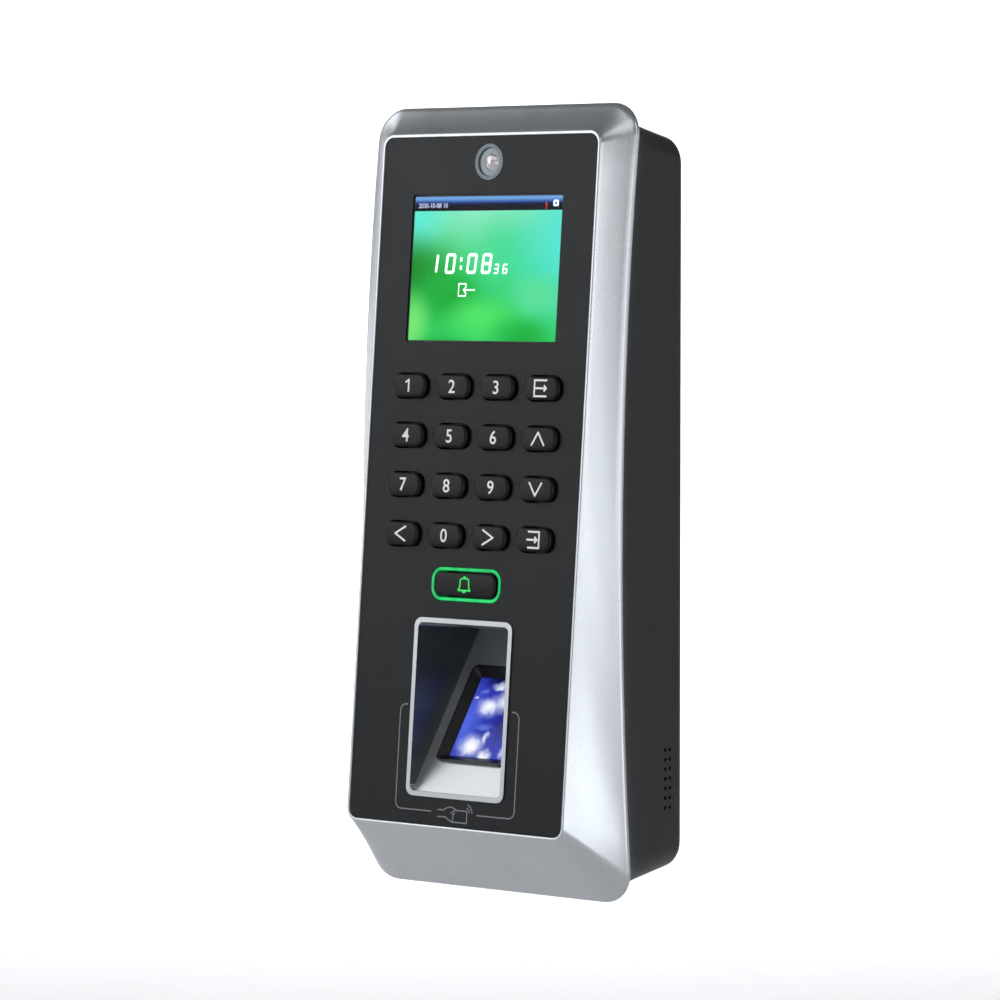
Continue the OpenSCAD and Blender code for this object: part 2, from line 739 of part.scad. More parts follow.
// Rear casing: lofted shell with a recessed back wall, posts, sound holes and the cable opening
module rear_casing() {
  color(matt_black) difference() {
    union() {
      ring_loft([
        casing_loop(0, 0),
        casing_loop(0.03, 0),
        casing_loop(0.07, 0),
        casing_loop(0.13, 0),
        casing_loop(0.22, 0),
        casing_loop(0.4, 0),
        casing_loop(1, 0),
        casing_loop(1, casing_wall),
        casing_loop(0.3, casing_wall),
        casing_loop(0.1, casing_wall + 0.1),
        casing_loop(0, casing_rim),
        casing_loop(0, groove_to),
        casing_loop(0, groove_to, groove_depth),
        casing_loop(0, groove_from, groove_depth),
        casing_loop(0, groove_from)
      ]);
      back_wall();
      mirrored_x() {
        for (p = casing_posts)
          along_y(p[0], p[1], edge_y(p[1]), back_wall_back - eps, 3.4);
        for (p = board_posts)
          along_y(p[0], p[1], board_back, back_wall_back - eps, 2.75);
      }
      translate([0, -8.5, -93.6]) cylinder(r = 3.75, h = 4);
    }
    mirrored_x() {
      for (p = casing_posts) {
        along_y(p[0], p[1], -60, 0, 1.7);
        along_y(p[0], p[1], casing_head_y, 1, 2.9);
      }
      for (p = board_posts)
        along_y(p[0], p[1], board_back - 1, back_wall_front - 1.2, 1.25);
      slab_y([12, 5.2], 1, 16, 63.1, -6, 0);
    }
    for (row = [0 : sound_rows - 1], col = [-0.5, 0.5])
      translate([30, sound_y + col * sound_col_pitch,
                 sound_z + (row - (sound_rows - 1) / 2) * sound_row_pitch])
        rotate([0, 90, 0]) cylinder(d = sound_hole_d, h = 12, $fn = 16);
    port(-6, 0);
    along_y(14, 22, -6, 0, 2.1);
    slab_y([18, 5.8], 1, 0, -87, -6, 0);
    translate([0, -8.5, -110]) cylinder(r = 1.7, h = 30);
    translate([0, -8.5, -110]) cylinder(r = 3.1, h = 17.2);
  }
}
module back_wall() {
  top = half_h - casing_inset_top - 0.7;
  bottom = -half_h + casing_inset_bottom + 0.7;
  slab_y([2 * (half_w - casing_inset_side - 0.6), top - bottom], 6, 0, (top + bottom) / 2,
         back_wall_front, back_wall_back);
}
module port(from, to) {
  size = port_max - port_min;
  middle = (port_max + port_min) / 2;
  slab_y(size, 3, middle[0], middle[1], from, to);
}
// Rubber cord in the casing's groove, squeezed against the bezel's rear edge
module casing_seal() {
  room = 0.05;
  color([0.2, 0.2, 0.2]) ring_loft([
    casing_loop(0, groove_from + room, room),
    casing_loop(0, groove_from + room, groove_depth - room),
    casing_loop(0, groove_to - room, groove_depth - room),
    casing_loop(0, groove_to - room, room)
  ]);
}
module casing_screws() {
  color(steel) mirrored_x() for (p = casing_posts) {
    difference() {
      along_y(p[0], p[1], casing_head_y, casing_head_y + 2.4, 2.75);
      block([p[0] - 0.5, casing_head_y + 1, p[1] - 1.8], [p[0] + 0.5, casing_head_y + 4, p[1] + 1.8]);
      block([p[0] - 1.8, casing_head_y + 1, p[1] - 0.5], [p[0] + 1.8, casing_head_y + 4, p[1] + 0.5]);
    }
    along_y(p[0], p[1], max(boss_front(p) + 1.6, edge_y(p[1]) - 6), casing_head_y + eps, 1.2);
  }
}

// Steel wall plate: wall screw holes, cable opening, two hooks and the flange for the lock screw
module wall_plate() {
  color(steel) difference() {
    union() {
      slab_y([55, 168], 3, 0, -2, plate_front, 0);
      mirrored_x() {
        block([11.5, -6.0, 64], [20.5, plate_front + eps, 65.5]);
        block([11.5, -6.0, 64], [20.5, -4.4, 68.5]);
      }
      block([-8, -13, -86], [8, plate_front + eps, -84.4]);
    }
    for (x = [-0.5, 0.5], z = [-0.5, 0.5])
      along_y(x * plate_screws_x, z * plate_screws_z, -3, 1, plate_hole_d / 2);
    port(-3, 1);
    translate([0, -8.5, -90]) cylinder(r = 1.25, h = 10);
  }
}
module lock_screw() {
  color(steel) translate([0, -8.5, 0]) {
    difference() {
      translate([0, 0, -95]) cylinder(r = 2.75, h = 2.2);
      translate([0, 0, -96]) cylinder(r = 1.4, h = 2.2, $fn = 6);
    }
    translate([0, 0, -92.8 - eps]) cylinder(r = 1.2, h = 10);
  }
}

front_bezel();
front_panel();
display_window();
display_module();
display_bracket();
display_ribbon();
camera_ring();
camera_window();
camera_lens();
camera_module();
key_at(0, 0);  // key_1
key_at(1, 0);  // key_2
key_at(2, 0);  // key_3
key_at(3, 0);  // key_exit
key_at(0, 1);  // key_4
key_at(1, 1);  // key_5
key_at(2, 1);  // key_6
key_at(3, 1);  // key_up
key_at(0, 2);  // key_7
key_at(1, 2);  // key_8
key_at(2, 2);  // key_9
key_at(3, 2);  // key_down
key_at(0, 3);  // key_left
key_at(1, 3);  // key_0
key_at(2, 3);  // key_right
key_at(3, 3);  // key_enter
bell_key();
bell_light_ring();
keypad_mat();
keypad_board();
keypad_ribbon();
panel_screws();
finger_well();
sensor_frame();
sensor_prism();
sensor_housing();
sensor_board();
sensor_lights();
sensor_ribbon();
card_antenna();
main_board();
processor();
coin_cell();
lock_relay();
capacitors();
terminal_blocks();
network_jack();
tamper_switch();
tamper_plunger();
board_screws();
speaker();
speaker_leads();
rear_casing();
casing_seal();
casing_screws();
wall_plate();
lock_screw();
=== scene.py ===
"""Looks of a wall-mounted fingerprint terminal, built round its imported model.

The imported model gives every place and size, in metres: +Z is up, the front faces -Y and the
wall is at Y = 0. Sizes that only the looks need are named fields of the classes below.
"""

import json
import logging
import math
from collections.abc import Callable, Iterator, Sequence
from contextlib import contextmanager
from dataclasses import dataclass, field
from enum import Enum

import bmesh
import bpy
from mathutils import Matrix, Vector


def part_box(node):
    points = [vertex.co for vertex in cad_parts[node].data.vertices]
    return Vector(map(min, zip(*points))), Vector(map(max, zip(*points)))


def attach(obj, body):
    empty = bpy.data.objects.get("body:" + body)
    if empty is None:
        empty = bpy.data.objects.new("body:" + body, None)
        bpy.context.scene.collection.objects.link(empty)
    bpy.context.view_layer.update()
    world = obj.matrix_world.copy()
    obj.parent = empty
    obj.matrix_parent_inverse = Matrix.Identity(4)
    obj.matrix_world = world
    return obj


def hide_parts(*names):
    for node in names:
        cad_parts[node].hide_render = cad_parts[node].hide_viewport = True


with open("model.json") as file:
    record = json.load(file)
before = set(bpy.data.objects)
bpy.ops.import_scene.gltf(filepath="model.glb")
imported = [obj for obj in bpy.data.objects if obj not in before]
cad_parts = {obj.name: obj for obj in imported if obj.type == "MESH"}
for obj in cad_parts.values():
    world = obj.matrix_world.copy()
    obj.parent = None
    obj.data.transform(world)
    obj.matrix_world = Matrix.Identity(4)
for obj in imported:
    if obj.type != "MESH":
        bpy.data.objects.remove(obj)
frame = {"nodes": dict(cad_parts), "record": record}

LOG = logging.getLogger("terminal")
MM = 0.001
ROOT_BODY = "terminal"
WELD = 2e-6
SAME_HEIGHT = 1e-6
SHARP_ANGLE = math.radians(30)
FLAT_ANGLE = math.radians(0.6)
TEXT_DEPTH = 0.1
TEXT_WEIGHT = 0.008
MATERIAL_PREFIX = "finish_"

Colour = tuple[float, float, float, float]
Path = Sequence[tuple[float, float]]
Element = bmesh.types.BMVert | bmesh.types.BMEdge | bmesh.types.BMFace


# Modelling helpers


class Domain(Enum):
    """What an edit-mode selection is made of."""

    VERTS = "VERT"
    EDGES = "EDGE"
    FACES = "FACE"


def activate(obj: bpy.types.Object) -> None:
    """Makes one object the only selected one and the active one.

    Args:
        obj: The object.
    """
    bpy.ops.object.select_all(action="DESELECT")
    obj.select_set(True)
    bpy.context.view_layer.objects.active = obj


@contextmanager
def editing(obj: bpy.types.Object, domain: Domain) -> Iterator[None]:
    """Opens obj in edit mode with nothing selected, and closes it again.

    Args:
        obj: The mesh object to edit.
        domain: What the selection is made of.
    """
    activate(obj)
    bpy.ops.object.mode_set(mode="EDIT")
    bpy.ops.mesh.select_mode(type=domain.value)
    bpy.ops.mesh.select_all(action="DESELECT")
    yield
    bpy.ops.object.mode_set(mode="OBJECT")


def pick(obj: bpy.types.Object, domain: Domain, test: Callable[[Element], bool]) -> None:
    """Selects the elements of a mesh in edit mode that pass a test, and only those.

    Args:
        obj: The mesh object, in edit mode.
        domain: What is tested and selected.
        test: Says whether an element is selected.
    """
    bpy.ops.mesh.select_all(action="DESELECT")
    mesh = bmesh.from_edit_mesh(obj.data)
    items = {Domain.VERTS: mesh.verts, Domain.EDGES: mesh.edges, Domain.FACES: mesh.faces}[domain]
    for item in [i for i in items if test(i)]:
        item.select_set(True)
    mesh.select_flush_mode()
    bmesh.update_edit_mesh(obj.data)


def upright(edge: bmesh.types.BMEdge) -> bool:
    """Says whether an edge runs along Z."""
    along = edge.verts[1].co - edge.verts[0].co
    return abs(along.normalized().z) > 0.999


def sharp_at(height: float) -> Callable[[bmesh.types.BMEdge], bool]:
    """Returns a test for the sharp edges that lie at a height.

    Args:
        height: The Z of the wanted edges.

    Returns:
        The test, for pick().
    """

    def test(edge: bmesh.types.BMEdge) -> bool:
        """Says whether an edge is level there and sharp."""
        level = all(abs(v.co.z - height) < SAME_HEIGHT for v in edge.verts)
        return level and edge.calc_face_angle(0.0) > SHARP_ANGLE

    return test


def facing_at(height: float, sense: float) -> Callable[[bmesh.types.BMFace], bool]:
    """Returns a test for the flat faces at a height that point up or down.

    Args:
        height: The Z of the wanted faces.
        sense: 1 for faces that point up, -1 for down.

    Returns:
        The test, for pick().
    """

    def test(face: bmesh.types.BMFace) -> bool:
        """Says whether a face is level there and looks the right way."""
        at_height = abs(face.calc_center_median().z - height) < SAME_HEIGHT
        return face.normal.z * sense > 0.99 and at_height

    return test


def named(obj: bpy.types.Object, name: str) -> bpy.types.Object:
    """Names an object and its data.

    Args:
        obj: The object.
        name: The new name of both.

    Returns:
        The same object.
    """
    obj.name = name
    obj.data.name = name
    return obj


def place(obj: bpy.types.Object, matrix: Matrix) -> bpy.types.Object:
    """Moves a mesh by a matrix and keeps the place in the mesh itself.

    Args:
        obj: A mesh object at the origin.
        matrix: Where it goes.

    Returns:
        The same object, at the origin, with its place in its vertices.
    """
    activate(obj)
    obj.matrix_world = matrix
    bpy.ops.object.transform_apply(location=True, rotation=True, scale=True)
    return obj


def box(name: str, low: Sequence[float], high: Sequence[float]) -> bpy.types.Object:
    """Adds a block between two corners.

    Args:
        name: The block's name.
        low: Its lowest corner.
        high: Its highest corner.

    Returns:
        The block.
    """
    bpy.ops.object.select_all(action="DESELECT")
    bpy.ops.mesh.primitive_cube_add(size=1.0, location=(Vector(low) + Vector(high)) / 2)
    obj = named(bpy.context.object, name)
    obj.scale = Vector(high) - Vector(low)
    bpy.ops.object.transform_apply(location=True, rotation=True, scale=True)
    return obj


def rounded_block(
    name: str,
    low: Sequence[float],
    high: Sequence[float],
    radius: float,
    edge: float = 0.0,
    segments: int = 8,
) -> bpy.types.Object:
    """Adds a block with round upright corners and a softened top edge.

    Args:
        name: The block's name.
        low: Its lowest corner.
        high: Its highest corner.
        radius: Radius of the upright corners.
        edge: Size of the top edge's rounding, or 0 for none.
        segments: Segments round each upright corner.

    Returns:
        The block.
    """
    obj = box(name, low, high)
    with editing(obj, Domain.EDGES):
        pick(obj, Domain.EDGES, upright)
        bpy.ops.mesh.bevel(offset=radius, segments=segments, profile=0.5, affect="EDGES")
        if edge > 0:
            pick(obj, Domain.EDGES, sharp_at(high[2]))
            bpy.ops.mesh.bevel(offset=edge, segments=3, profile=0.5, affect="EDGES")
    return obj


def rod(
    name: str, start: Sequence[float], end: Sequence[float], radius: float, sides: int = 32
) -> bpy.types.Object:
    """Adds a cylinder from one point to another.

    Args:
        name: The cylinder's name.
        start: Middle of one end.
        end: Middle of the other end.
        radius: Its radius.
        sides: Facets round it.

    Returns:
        The cylinder.
    """
    along = Vector(end) - Vector(start)
    bpy.ops.object.select_all(action="DESELECT")
    bpy.ops.mesh.primitive_cylinder_add(vertices=sides, radius=radius, depth=along.length)
    turn = Vector((0, 0, 1)).rotation_difference(along).to_matrix().to_4x4()
    middle = (Vector(start) + Vector(end)) / 2
    return place(named(bpy.context.object, name), Matrix.Translation(middle) @ turn)


def modify(obj: bpy.types.Object, kind: str, **settings: object) -> None:
    """Adds a modifier and applies it.

    Args:
        obj: The mesh that is changed.
        kind: The modifier's type.
        **settings: Its properties.
    """
    activate(obj)
    modifier = obj.modifiers.new(kind.lower(), kind)
    for name, value in settings.items():
        setattr(modifier, name, value)
    bpy.ops.object.modifier_apply(modifier=modifier.name)


def joined(name: str, parts: Sequence[bpy.types.Object]) -> bpy.types.Object:
    """Joins meshes into the first of them.

    Args:
        name: The new name.
        parts: One or more mesh objects.

    Returns:
        The first part, which holds all of them.
    """
    activate(parts[0])
    for part in parts:
        part.select_set(True)
    if len(parts) > 1:
        bpy.ops.object.join()
    return named(parts[0], name)


def carve(
    obj: bpy.types.Object, tools: Sequence[bpy.types.Object], operation: str = "DIFFERENCE"
) -> None:
    """Cuts tools out of a mesh, or adds them to it, and removes them.

    Args:
        obj: The mesh that is changed.
        tools: Closed meshes that don't meet each other.
        operation: DIFFERENCE to cut, UNION to add.
    """
    tool = joined("tool", tools)
    modify(obj, "BOOLEAN", object=tool, operation=operation, solver="EXACT")
    bpy.data.objects.remove(tool)


def smooth(obj: bpy.types.Object, degrees: float = 32.0) -> bpy.types.Object:
    """Shades a mesh smooth, apart from its sharp edges.

    Args:
        obj: The mesh object.
        degrees: The angle from which an edge stays sharp.

    Returns:
        The same object.
    """
    activate(obj)
    bpy.ops.object.shade_smooth_by_angle(angle=math.radians(degrees))
    return obj


def level_normals(obj: bpy.types.Object) -> bpy.types.Object:
    """Keeps large flat faces flat in their shading next to rounded edges, and returns the mesh."""
    modify(obj, "WEIGHTED_NORMAL", mode="FACE_AREA", weight=100, keep_sharp=True)
    return obj


def softened_copy(
    node: str, edge: float, segments: int = 2, name: str | None = None
) -> bpy.types.Object:
    """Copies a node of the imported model, welds its triangles and rounds its edges.

    Args:
        node: The node that is copied.
        edge: Width of the rounding, or 0 for none.
        segments: Segments across the rounding.
        name: The copy's name, if it isn't the node's with _piece after it.

    Returns:
        The copy, which stands for the node.
    """
    name = name or node + "_piece"
    obj = bpy.data.objects.new(name, frame["nodes"][node].data.copy())
    bpy.context.scene.collection.objects.link(obj)
    obj.data.materials.clear()
    with editing(obj, Domain.VERTS):
        bpy.ops.mesh.select_all(action="SELECT")
        bpy.ops.mesh.remove_doubles(threshold=WELD)
        bpy.ops.mesh.dissolve_limited(angle_limit=FLAT_ANGLE)
    if edge > 0:
        modify(
            obj, "BEVEL", width=edge, segments=segments, limit_method="ANGLE",
            angle_limit=SHARP_ANGLE, miter_outer="MITER_ARC", use_clamp_overlap=True,
        )
    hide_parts(node)
    return level_normals(smooth(named(obj, name)))


def strokes(
    name: str, paths: Sequence[Path], width: float, thickness: float, overlap: float = 0.3
) -> bpy.types.Object:
    """Draws raised lines in the XY plane, as printed marks have.

    Args:
        name: The mark's name.
        paths: Lines of (x, y) points in metres. A line that ends where it starts is closed.
        width: Width of the lines.
        thickness: Their thickness.
        overlap: How far an open line runs past its ends, as a share of its width.

    Returns:
        One mesh that holds all the lines.
    """
    curve = bpy.data.curves.new(name, "CURVE")
    curve.dimensions = "3D"
    curve.bevel_depth = width / 2
    curve.bevel_resolution = 2
    curve.use_fill_caps = True
    for path in paths:
        points = [Vector((x, y, 0.0)) for x, y in path]
        cyclic = (points[0] - points[-1]).length < 1e-7
        if cyclic:
            points.pop()
        else:
            points[0] += (points[0] - points[1]).normalized() * width * overlap
            points[-1] += (points[-1] - points[-2]).normalized() * width * overlap
        spline = curve.splines.new("POLY")
        spline.points.add(len(points) - 1)
        for target, point in zip(spline.points, points):
            target.co = (*point, 1.0)
        spline.use_cyclic_u = cyclic
    obj = bpy.data.objects.new(name, curve)
    bpy.context.scene.collection.objects.link(obj)
    activate(obj)
    bpy.ops.object.convert(target="MESH")
    obj = bpy.context.object
    flat = Matrix.Diagonal((1.0, 1.0, thickness / width, 1.0))
    return smooth(place(named(obj, name), flat))


def digits(name: str, text: str, height: float, thickness: float) -> bpy.types.Object:
    """Writes digits in the XY plane, centred on the origin.

    Args:
        name: The mark's name.
        text: The digits.
        height: Height of a digit.
        thickness: Thickness of the print.

    Returns:
        The digits as a mesh.
    """
    bpy.ops.object.select_all(action="DESELECT")
    bpy.ops.object.text_add()
    obj = named(bpy.context.object, name)
    obj.data.body = text
    obj.data.extrude = TEXT_DEPTH
    obj.data.offset = TEXT_WEIGHT
    bpy.ops.object.convert(target="MESH")
    obj = bpy.context.object
    low, high = spread([v.co for v in obj.data.vertices])
    size = high - low
    share = height / size.y
    scale = Matrix.Diagonal((share, share, thickness / size.z, 1.0))
    return place(named(obj, name), scale @ Matrix.Translation(-(low + high) / 2))


def arc(
    middle: tuple[float, float], radius: float, start: float, end: float, steps: int = 6
) -> list[tuple[float, float]]:
    """Points along an arc, with its angles in degrees from the X axis."""
    angles = [math.radians(start + (end - start) * i / steps) for i in range(steps + 1)]
    return [(middle[0] + radius * math.cos(a), middle[1] + radius * math.sin(a)) for a in angles]


def scaled(paths: Sequence[Path], unit: float = MM) -> list[list[tuple[float, float]]]:
    """Turns paths in millimetres into paths in metres."""
    return [[(x * unit, y * unit) for x, y in path] for path in paths]


def mirrored(path: Path) -> list[tuple[float, float]]:
    """A path with its left and right exchanged."""
    return [(-x, y) for x, y in path]


def mix(a: float, b: float, share: float) -> float:
    """The number a share of the way from a to b."""
    return a + (b - a) * share


def between(
    start: tuple[float, float], end: tuple[float, float], steps: int
) -> list[tuple[float, float]]:
    """Points inside a straight line, without its ends."""
    shares = [step / steps for step in range(1, steps)]
    return [(mix(start[0], end[0], t), mix(start[1], end[1], t)) for t in shares]


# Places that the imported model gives


def spread(points: Sequence[Vector]) -> tuple[Vector, Vector]:
    """Finds the box round a set of points.

    Args:
        points: The points.

    Returns:
        The box's lowest and highest corner.
    """
    low = Vector(min(p[i] for p in points) for i in range(3))
    high = Vector(max(p[i] for p in points) for i in range(3))
    return low, high


def islands(node: str) -> list[tuple[Vector, Vector]]:
    """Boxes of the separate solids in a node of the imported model.

    Args:
        node: The node's name.

    Returns:
        A lowest and highest corner for each solid, from the lowest solid up.
    """
    mesh = bmesh.new()
    mesh.from_mesh(frame["nodes"][node].data)
    bmesh.ops.remove_doubles(mesh, verts=mesh.verts, dist=WELD)
    left, found = set(mesh.verts), []
    while left:
        todo, solid = [left.pop()], []
        while todo:
            vert = todo.pop()
            solid.append(vert.co.copy())
            near = {e.other_vert(vert) for e in vert.link_edges} & left
            left -= near
            todo.extend(near)
        found.append(spread(solid))
    mesh.free()
    return sorted(found, key=lambda pair: tuple(round(c, 5) for c in (pair[0].z, pair[0].x)))


def opening(name: str) -> tuple[Vector, Vector]:
    """Lowest and highest corner of one of the record's openings."""
    stated = {o["name"]: o["box_m"] for o in frame["record"]["physics"]["openings"]}
    return Vector(stated[name][0]), Vector(stated[name][1])


@dataclass(frozen=True)
class LocalFrame:
    """A flat face of the terminal with axes of its own: x across, y up the face, z out of it."""

    matrix: Matrix

    @classmethod
    def on(cls, node: str) -> "LocalFrame":
        """Finds a node's largest face that looks forward.

        Args:
            node: The node's name.

        Returns:
            The face's frame, with its origin over the middle of the node.
        """
        sums: dict[tuple[float, ...], Vector] = {}
        for face in frame["nodes"][node].data.polygons:
            if face.normal.y < -0.1:
                key = tuple(round(c, 2) for c in face.normal)
                sums[key] = sums.get(key, Vector()) + face.normal * face.area
        normal = max(sums.values(), key=lambda v: v.length).normalized()
        across = Vector((1, 0, 0))
        turn = Matrix((across, normal.cross(across), normal)).transposed().to_4x4()
        low, high = cls(turn).box(node)
        top = Vector(((low.x + high.x) / 2, (low.y + high.y) / 2, high.z))
        return cls(turn @ Matrix.Translation(top))

    def box(self, node: str) -> tuple[Vector, Vector]:
        """Lowest and highest corner of a node, in this frame."""
        inverse = self.matrix.inverted()
        return spread([inverse @ v.co for v in frame["nodes"][node].data.vertices])

    def middle(self, node: str) -> Vector:
        """Middle of a node's box, in this frame."""
        low, high = self.box(node)
        return (low + high) / 2

    def at(self, x: float, y: float, z: float = 0.0) -> "LocalFrame":
        """The same frame moved along its own axes."""
        return LocalFrame(self.matrix @ Matrix.Translation((x, y, z)))


@dataclass(frozen=True)
class EdgeCurve:
    """The bezel's rear edge seen from the side: a parabola through its bottom, middle and top."""

    bottom: float
    middle: float
    top: float
    half_height: float

    @classmethod
    def of(cls, node: str) -> "EdgeCurve":
        """Reads the curve from a node's rearmost points at three heights.

        Args:
            node: The node's name.

        Returns:
            The curve.
        """
        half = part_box(node)[1].z
        points = [v.co for v in frame["nodes"][node].data.vertices]

        def rearmost(z: float) -> float:
            """Largest Y at a height."""
            return max(p.y for p in points if abs(p.z - z) < 0.1 * MM)

        return cls(rearmost(-half), rearmost(0.0), rearmost(half), half)

    def depth(self, z: float) -> float:
        """Finds the edge at a height.

        Args:
            z: The height.

        Returns:
            The edge's Y there.
        """
        t = z / self.half_height
        ends = (self.top + self.bottom) / 2
        return self.middle + (self.top - self.bottom) / 2 * t + (ends - self.middle) * t * t


@dataclass(frozen=True)
class Outline:
    """A rounded oblong, upright or on a face."""

    half_width: float
    top: float
    bottom: float
    radius: float

    def grown(self, by: float) -> "Outline":
        """The outline moved outwards all round."""
        radius = max(self.radius + by, 0.5 * MM)
        return Outline(self.half_width + by, self.top + by, self.bottom - by, radius)

    def blended(self, other: "Outline", share: float) -> "Outline":
        """The outline a share of the way to another."""
        return Outline(
            mix(self.half_width, other.half_width, share),
            mix(self.top, other.top, share),
            mix(self.bottom, other.bottom, share),
            mix(self.radius, other.radius, share),
        )

    def points(
        self, corner_steps: int = 8, side_steps: int = 24, end_steps: int = 6
    ) -> list[Vector]:
        """Walks round the outline, anticlockwise from the foot of its top right corner.

        Args:
            corner_steps: Steps round each corner.
            side_steps: Steps along each upright side.
            end_steps: Steps along the top and the bottom.

        Returns:
            The points, as (x, y, 0).
        """
        x, r = self.half_width - self.radius, self.radius
        high, low = self.top - r, self.bottom + r
        found: list[tuple[float, float]] = []
        for i, middle in enumerate(((x, high), (-x, high), (-x, low), (x, low))):
            turn = arc(middle, r, 90 * i, 90 * i + 90, corner_steps)
            if found:
                found += between(found[-1], turn[0], end_steps if i % 2 else side_steps)
            found += turn
        found += between(found[-1], found[0], side_steps)
        return [Vector((px, py, 0.0)) for px, py in found]


def loft(name: str, loops: Sequence[Sequence[Vector]], closed: bool) -> bpy.types.Object:
    """Skins a stack of equal loops by extruding a ring from each to the next.

    Args:
        name: The skin's name.
        loops: The loops, with their points in the same order.
        closed: True joins the last loop to the first, False fills both end loops.

    Returns:
        A closed mesh.
    """
    bpy.ops.object.select_all(action="DESELECT")
    bpy.ops.mesh.primitive_circle_add(vertices=len(loops[0]), radius=1.0)
    obj = named(bpy.context.object, name)
    with editing(obj, Domain.VERTS):
        mesh = bmesh.from_edit_mesh(obj.data)
        order = mesh.verts.layers.int.new("order")
        for i, vert in enumerate(mesh.verts):
            vert[order] = i
            vert.co = loops[0][i]
        bmesh.update_edit_mesh(obj.data)
        bpy.ops.mesh.select_all(action="SELECT")
        for loop in [*loops[1:], loops[0]] if closed else loops[1:]:
            bpy.ops.mesh.extrude_edges_move()
            mesh = bmesh.from_edit_mesh(obj.data)
            order = mesh.verts.layers.int["order"]
            for vert in [v for v in mesh.verts if v.select]:
                vert.co = loop[vert[order]]
            bmesh.update_edit_mesh(obj.data)
        if closed:
            bpy.ops.mesh.select_all(action="SELECT")
            bpy.ops.mesh.remove_doubles(threshold=WELD)
        else:
            bpy.ops.mesh.edge_face_add()
            bpy.ops.mesh.select_all(action="DESELECT")
            bpy.ops.mesh.select_non_manifold()
            bpy.ops.mesh.edge_face_add()
        bpy.ops.mesh.select_all(action="SELECT")
        bpy.ops.mesh.normals_make_consistent(inside=False)
    obj.data.attributes.remove(obj.data.attributes["order"])
    return obj


# Shader helpers


def shade(red: float, green: float, blue: float) -> Colour:
    """Turns a display colour into linear light.

    Args:
        red: Red, from 0 to 255.
        green: Green, from 0 to 255.
        blue: Blue, from 0 to 255.

    Returns:
        The colour, with full alpha.
    """

    def linear(value: float) -> float:
        """One channel as linear light."""
        v = value / 255
        return v / 12.92 if v <= 0.04045 else ((v + 0.055) / 1.055) ** 2.4

    return linear(red), linear(green), linear(blue), 1.0


class Tree:
    """Adds nodes to one shader tree and links them."""

    def __init__(self, tree: bpy.types.NodeTree) -> None:
        """Keeps the tree that is added to."""
        self.tree = tree

    def add(
        self, kind: str, inputs: dict[str | int, object] | None = None, **settings: object
    ) -> bpy.types.Node:
        """Adds a node.

        Args:
            kind: Its type, without ShaderNode in front.
            inputs: A value or a socket to link for each named input.
            **settings: Its other properties.

        Returns:
            The node.
        """
        node = self.tree.nodes.new("ShaderNode" + kind)
        for name, value in settings.items():
            setattr(node, name, value)
        for name, value in (inputs or {}).items():
            if isinstance(value, bpy.types.NodeSocket):
                self.tree.links.new(value, node.inputs[name])
            else:
                node.inputs[name].default_value = value
        return node

    def math(self, operation: str, *values: object) -> bpy.types.NodeSocket:
        """Adds a Math node and returns its output."""
        return self.add("Math", dict(enumerate(values)), operation=operation).outputs[0]

    def blend(self, share: object, first: object, second: object) -> bpy.types.NodeSocket:
        """Mixes two colours and returns the result."""
        return self.add("Mix", {0: share, 6: first, 7: second}, data_type="RGBA").outputs[2]

    def smoothstep(
        self, value: object, start: float, end: float, low: float = 0.0, high: float = 1.0
    ) -> bpy.types.NodeSocket:
        """Eases a value from low at start to high at end."""
        inputs = {0: value, 1: start, 2: end, 3: low, 4: high}
        return self.add("MapRange", inputs, interpolation_type="SMOOTHSTEP").outputs[0]

    def local(self, place_in: LocalFrame, unit: float) -> bpy.types.NodeSocket:
        """Object coordinates in a local frame, where 1 is the given length.

        Args:
            place_in: The frame whose axes and origin are used.
            unit: The length that counts as 1.

        Returns:
            The coordinates' socket.
        """
        inverse = place_in.matrix.inverted()
        coordinates = self.add("TexCoord").outputs["Object"]
        inputs = {
            "Vector": coordinates,
            "Location": inverse.translation / unit,
            "Rotation": inverse.to_euler(),
            "Scale": (1 / unit,) * 3,
        }
        return self.add("Mapping", inputs, vector_type="POINT").outputs[0]


def new_group(
    name: str, inputs: dict[str, str], outputs: dict[str, str]
) -> tuple[Tree, bpy.types.Node, bpy.types.Node]:
    """Starts a shader node group.

    Args:
        name: The group's name.
        inputs: Socket type for each input, without NodeSocket in front.
        outputs: Socket type for each output.

    Returns:
        The group's tree, its input node and its output node.
    """
    group = bpy.data.node_groups.new(name, "ShaderNodeTree")
    for direction, sockets in (("INPUT", inputs), ("OUTPUT", outputs)):
        for socket, kind in sockets.items():
            kind = "NodeSocket" + kind
            group.interface.new_socket(name=socket, in_out=direction, socket_type=kind)
    start = group.nodes.new("NodeGroupInput")
    end = group.nodes.new("NodeGroupOutput")
    return Tree(group), start, end


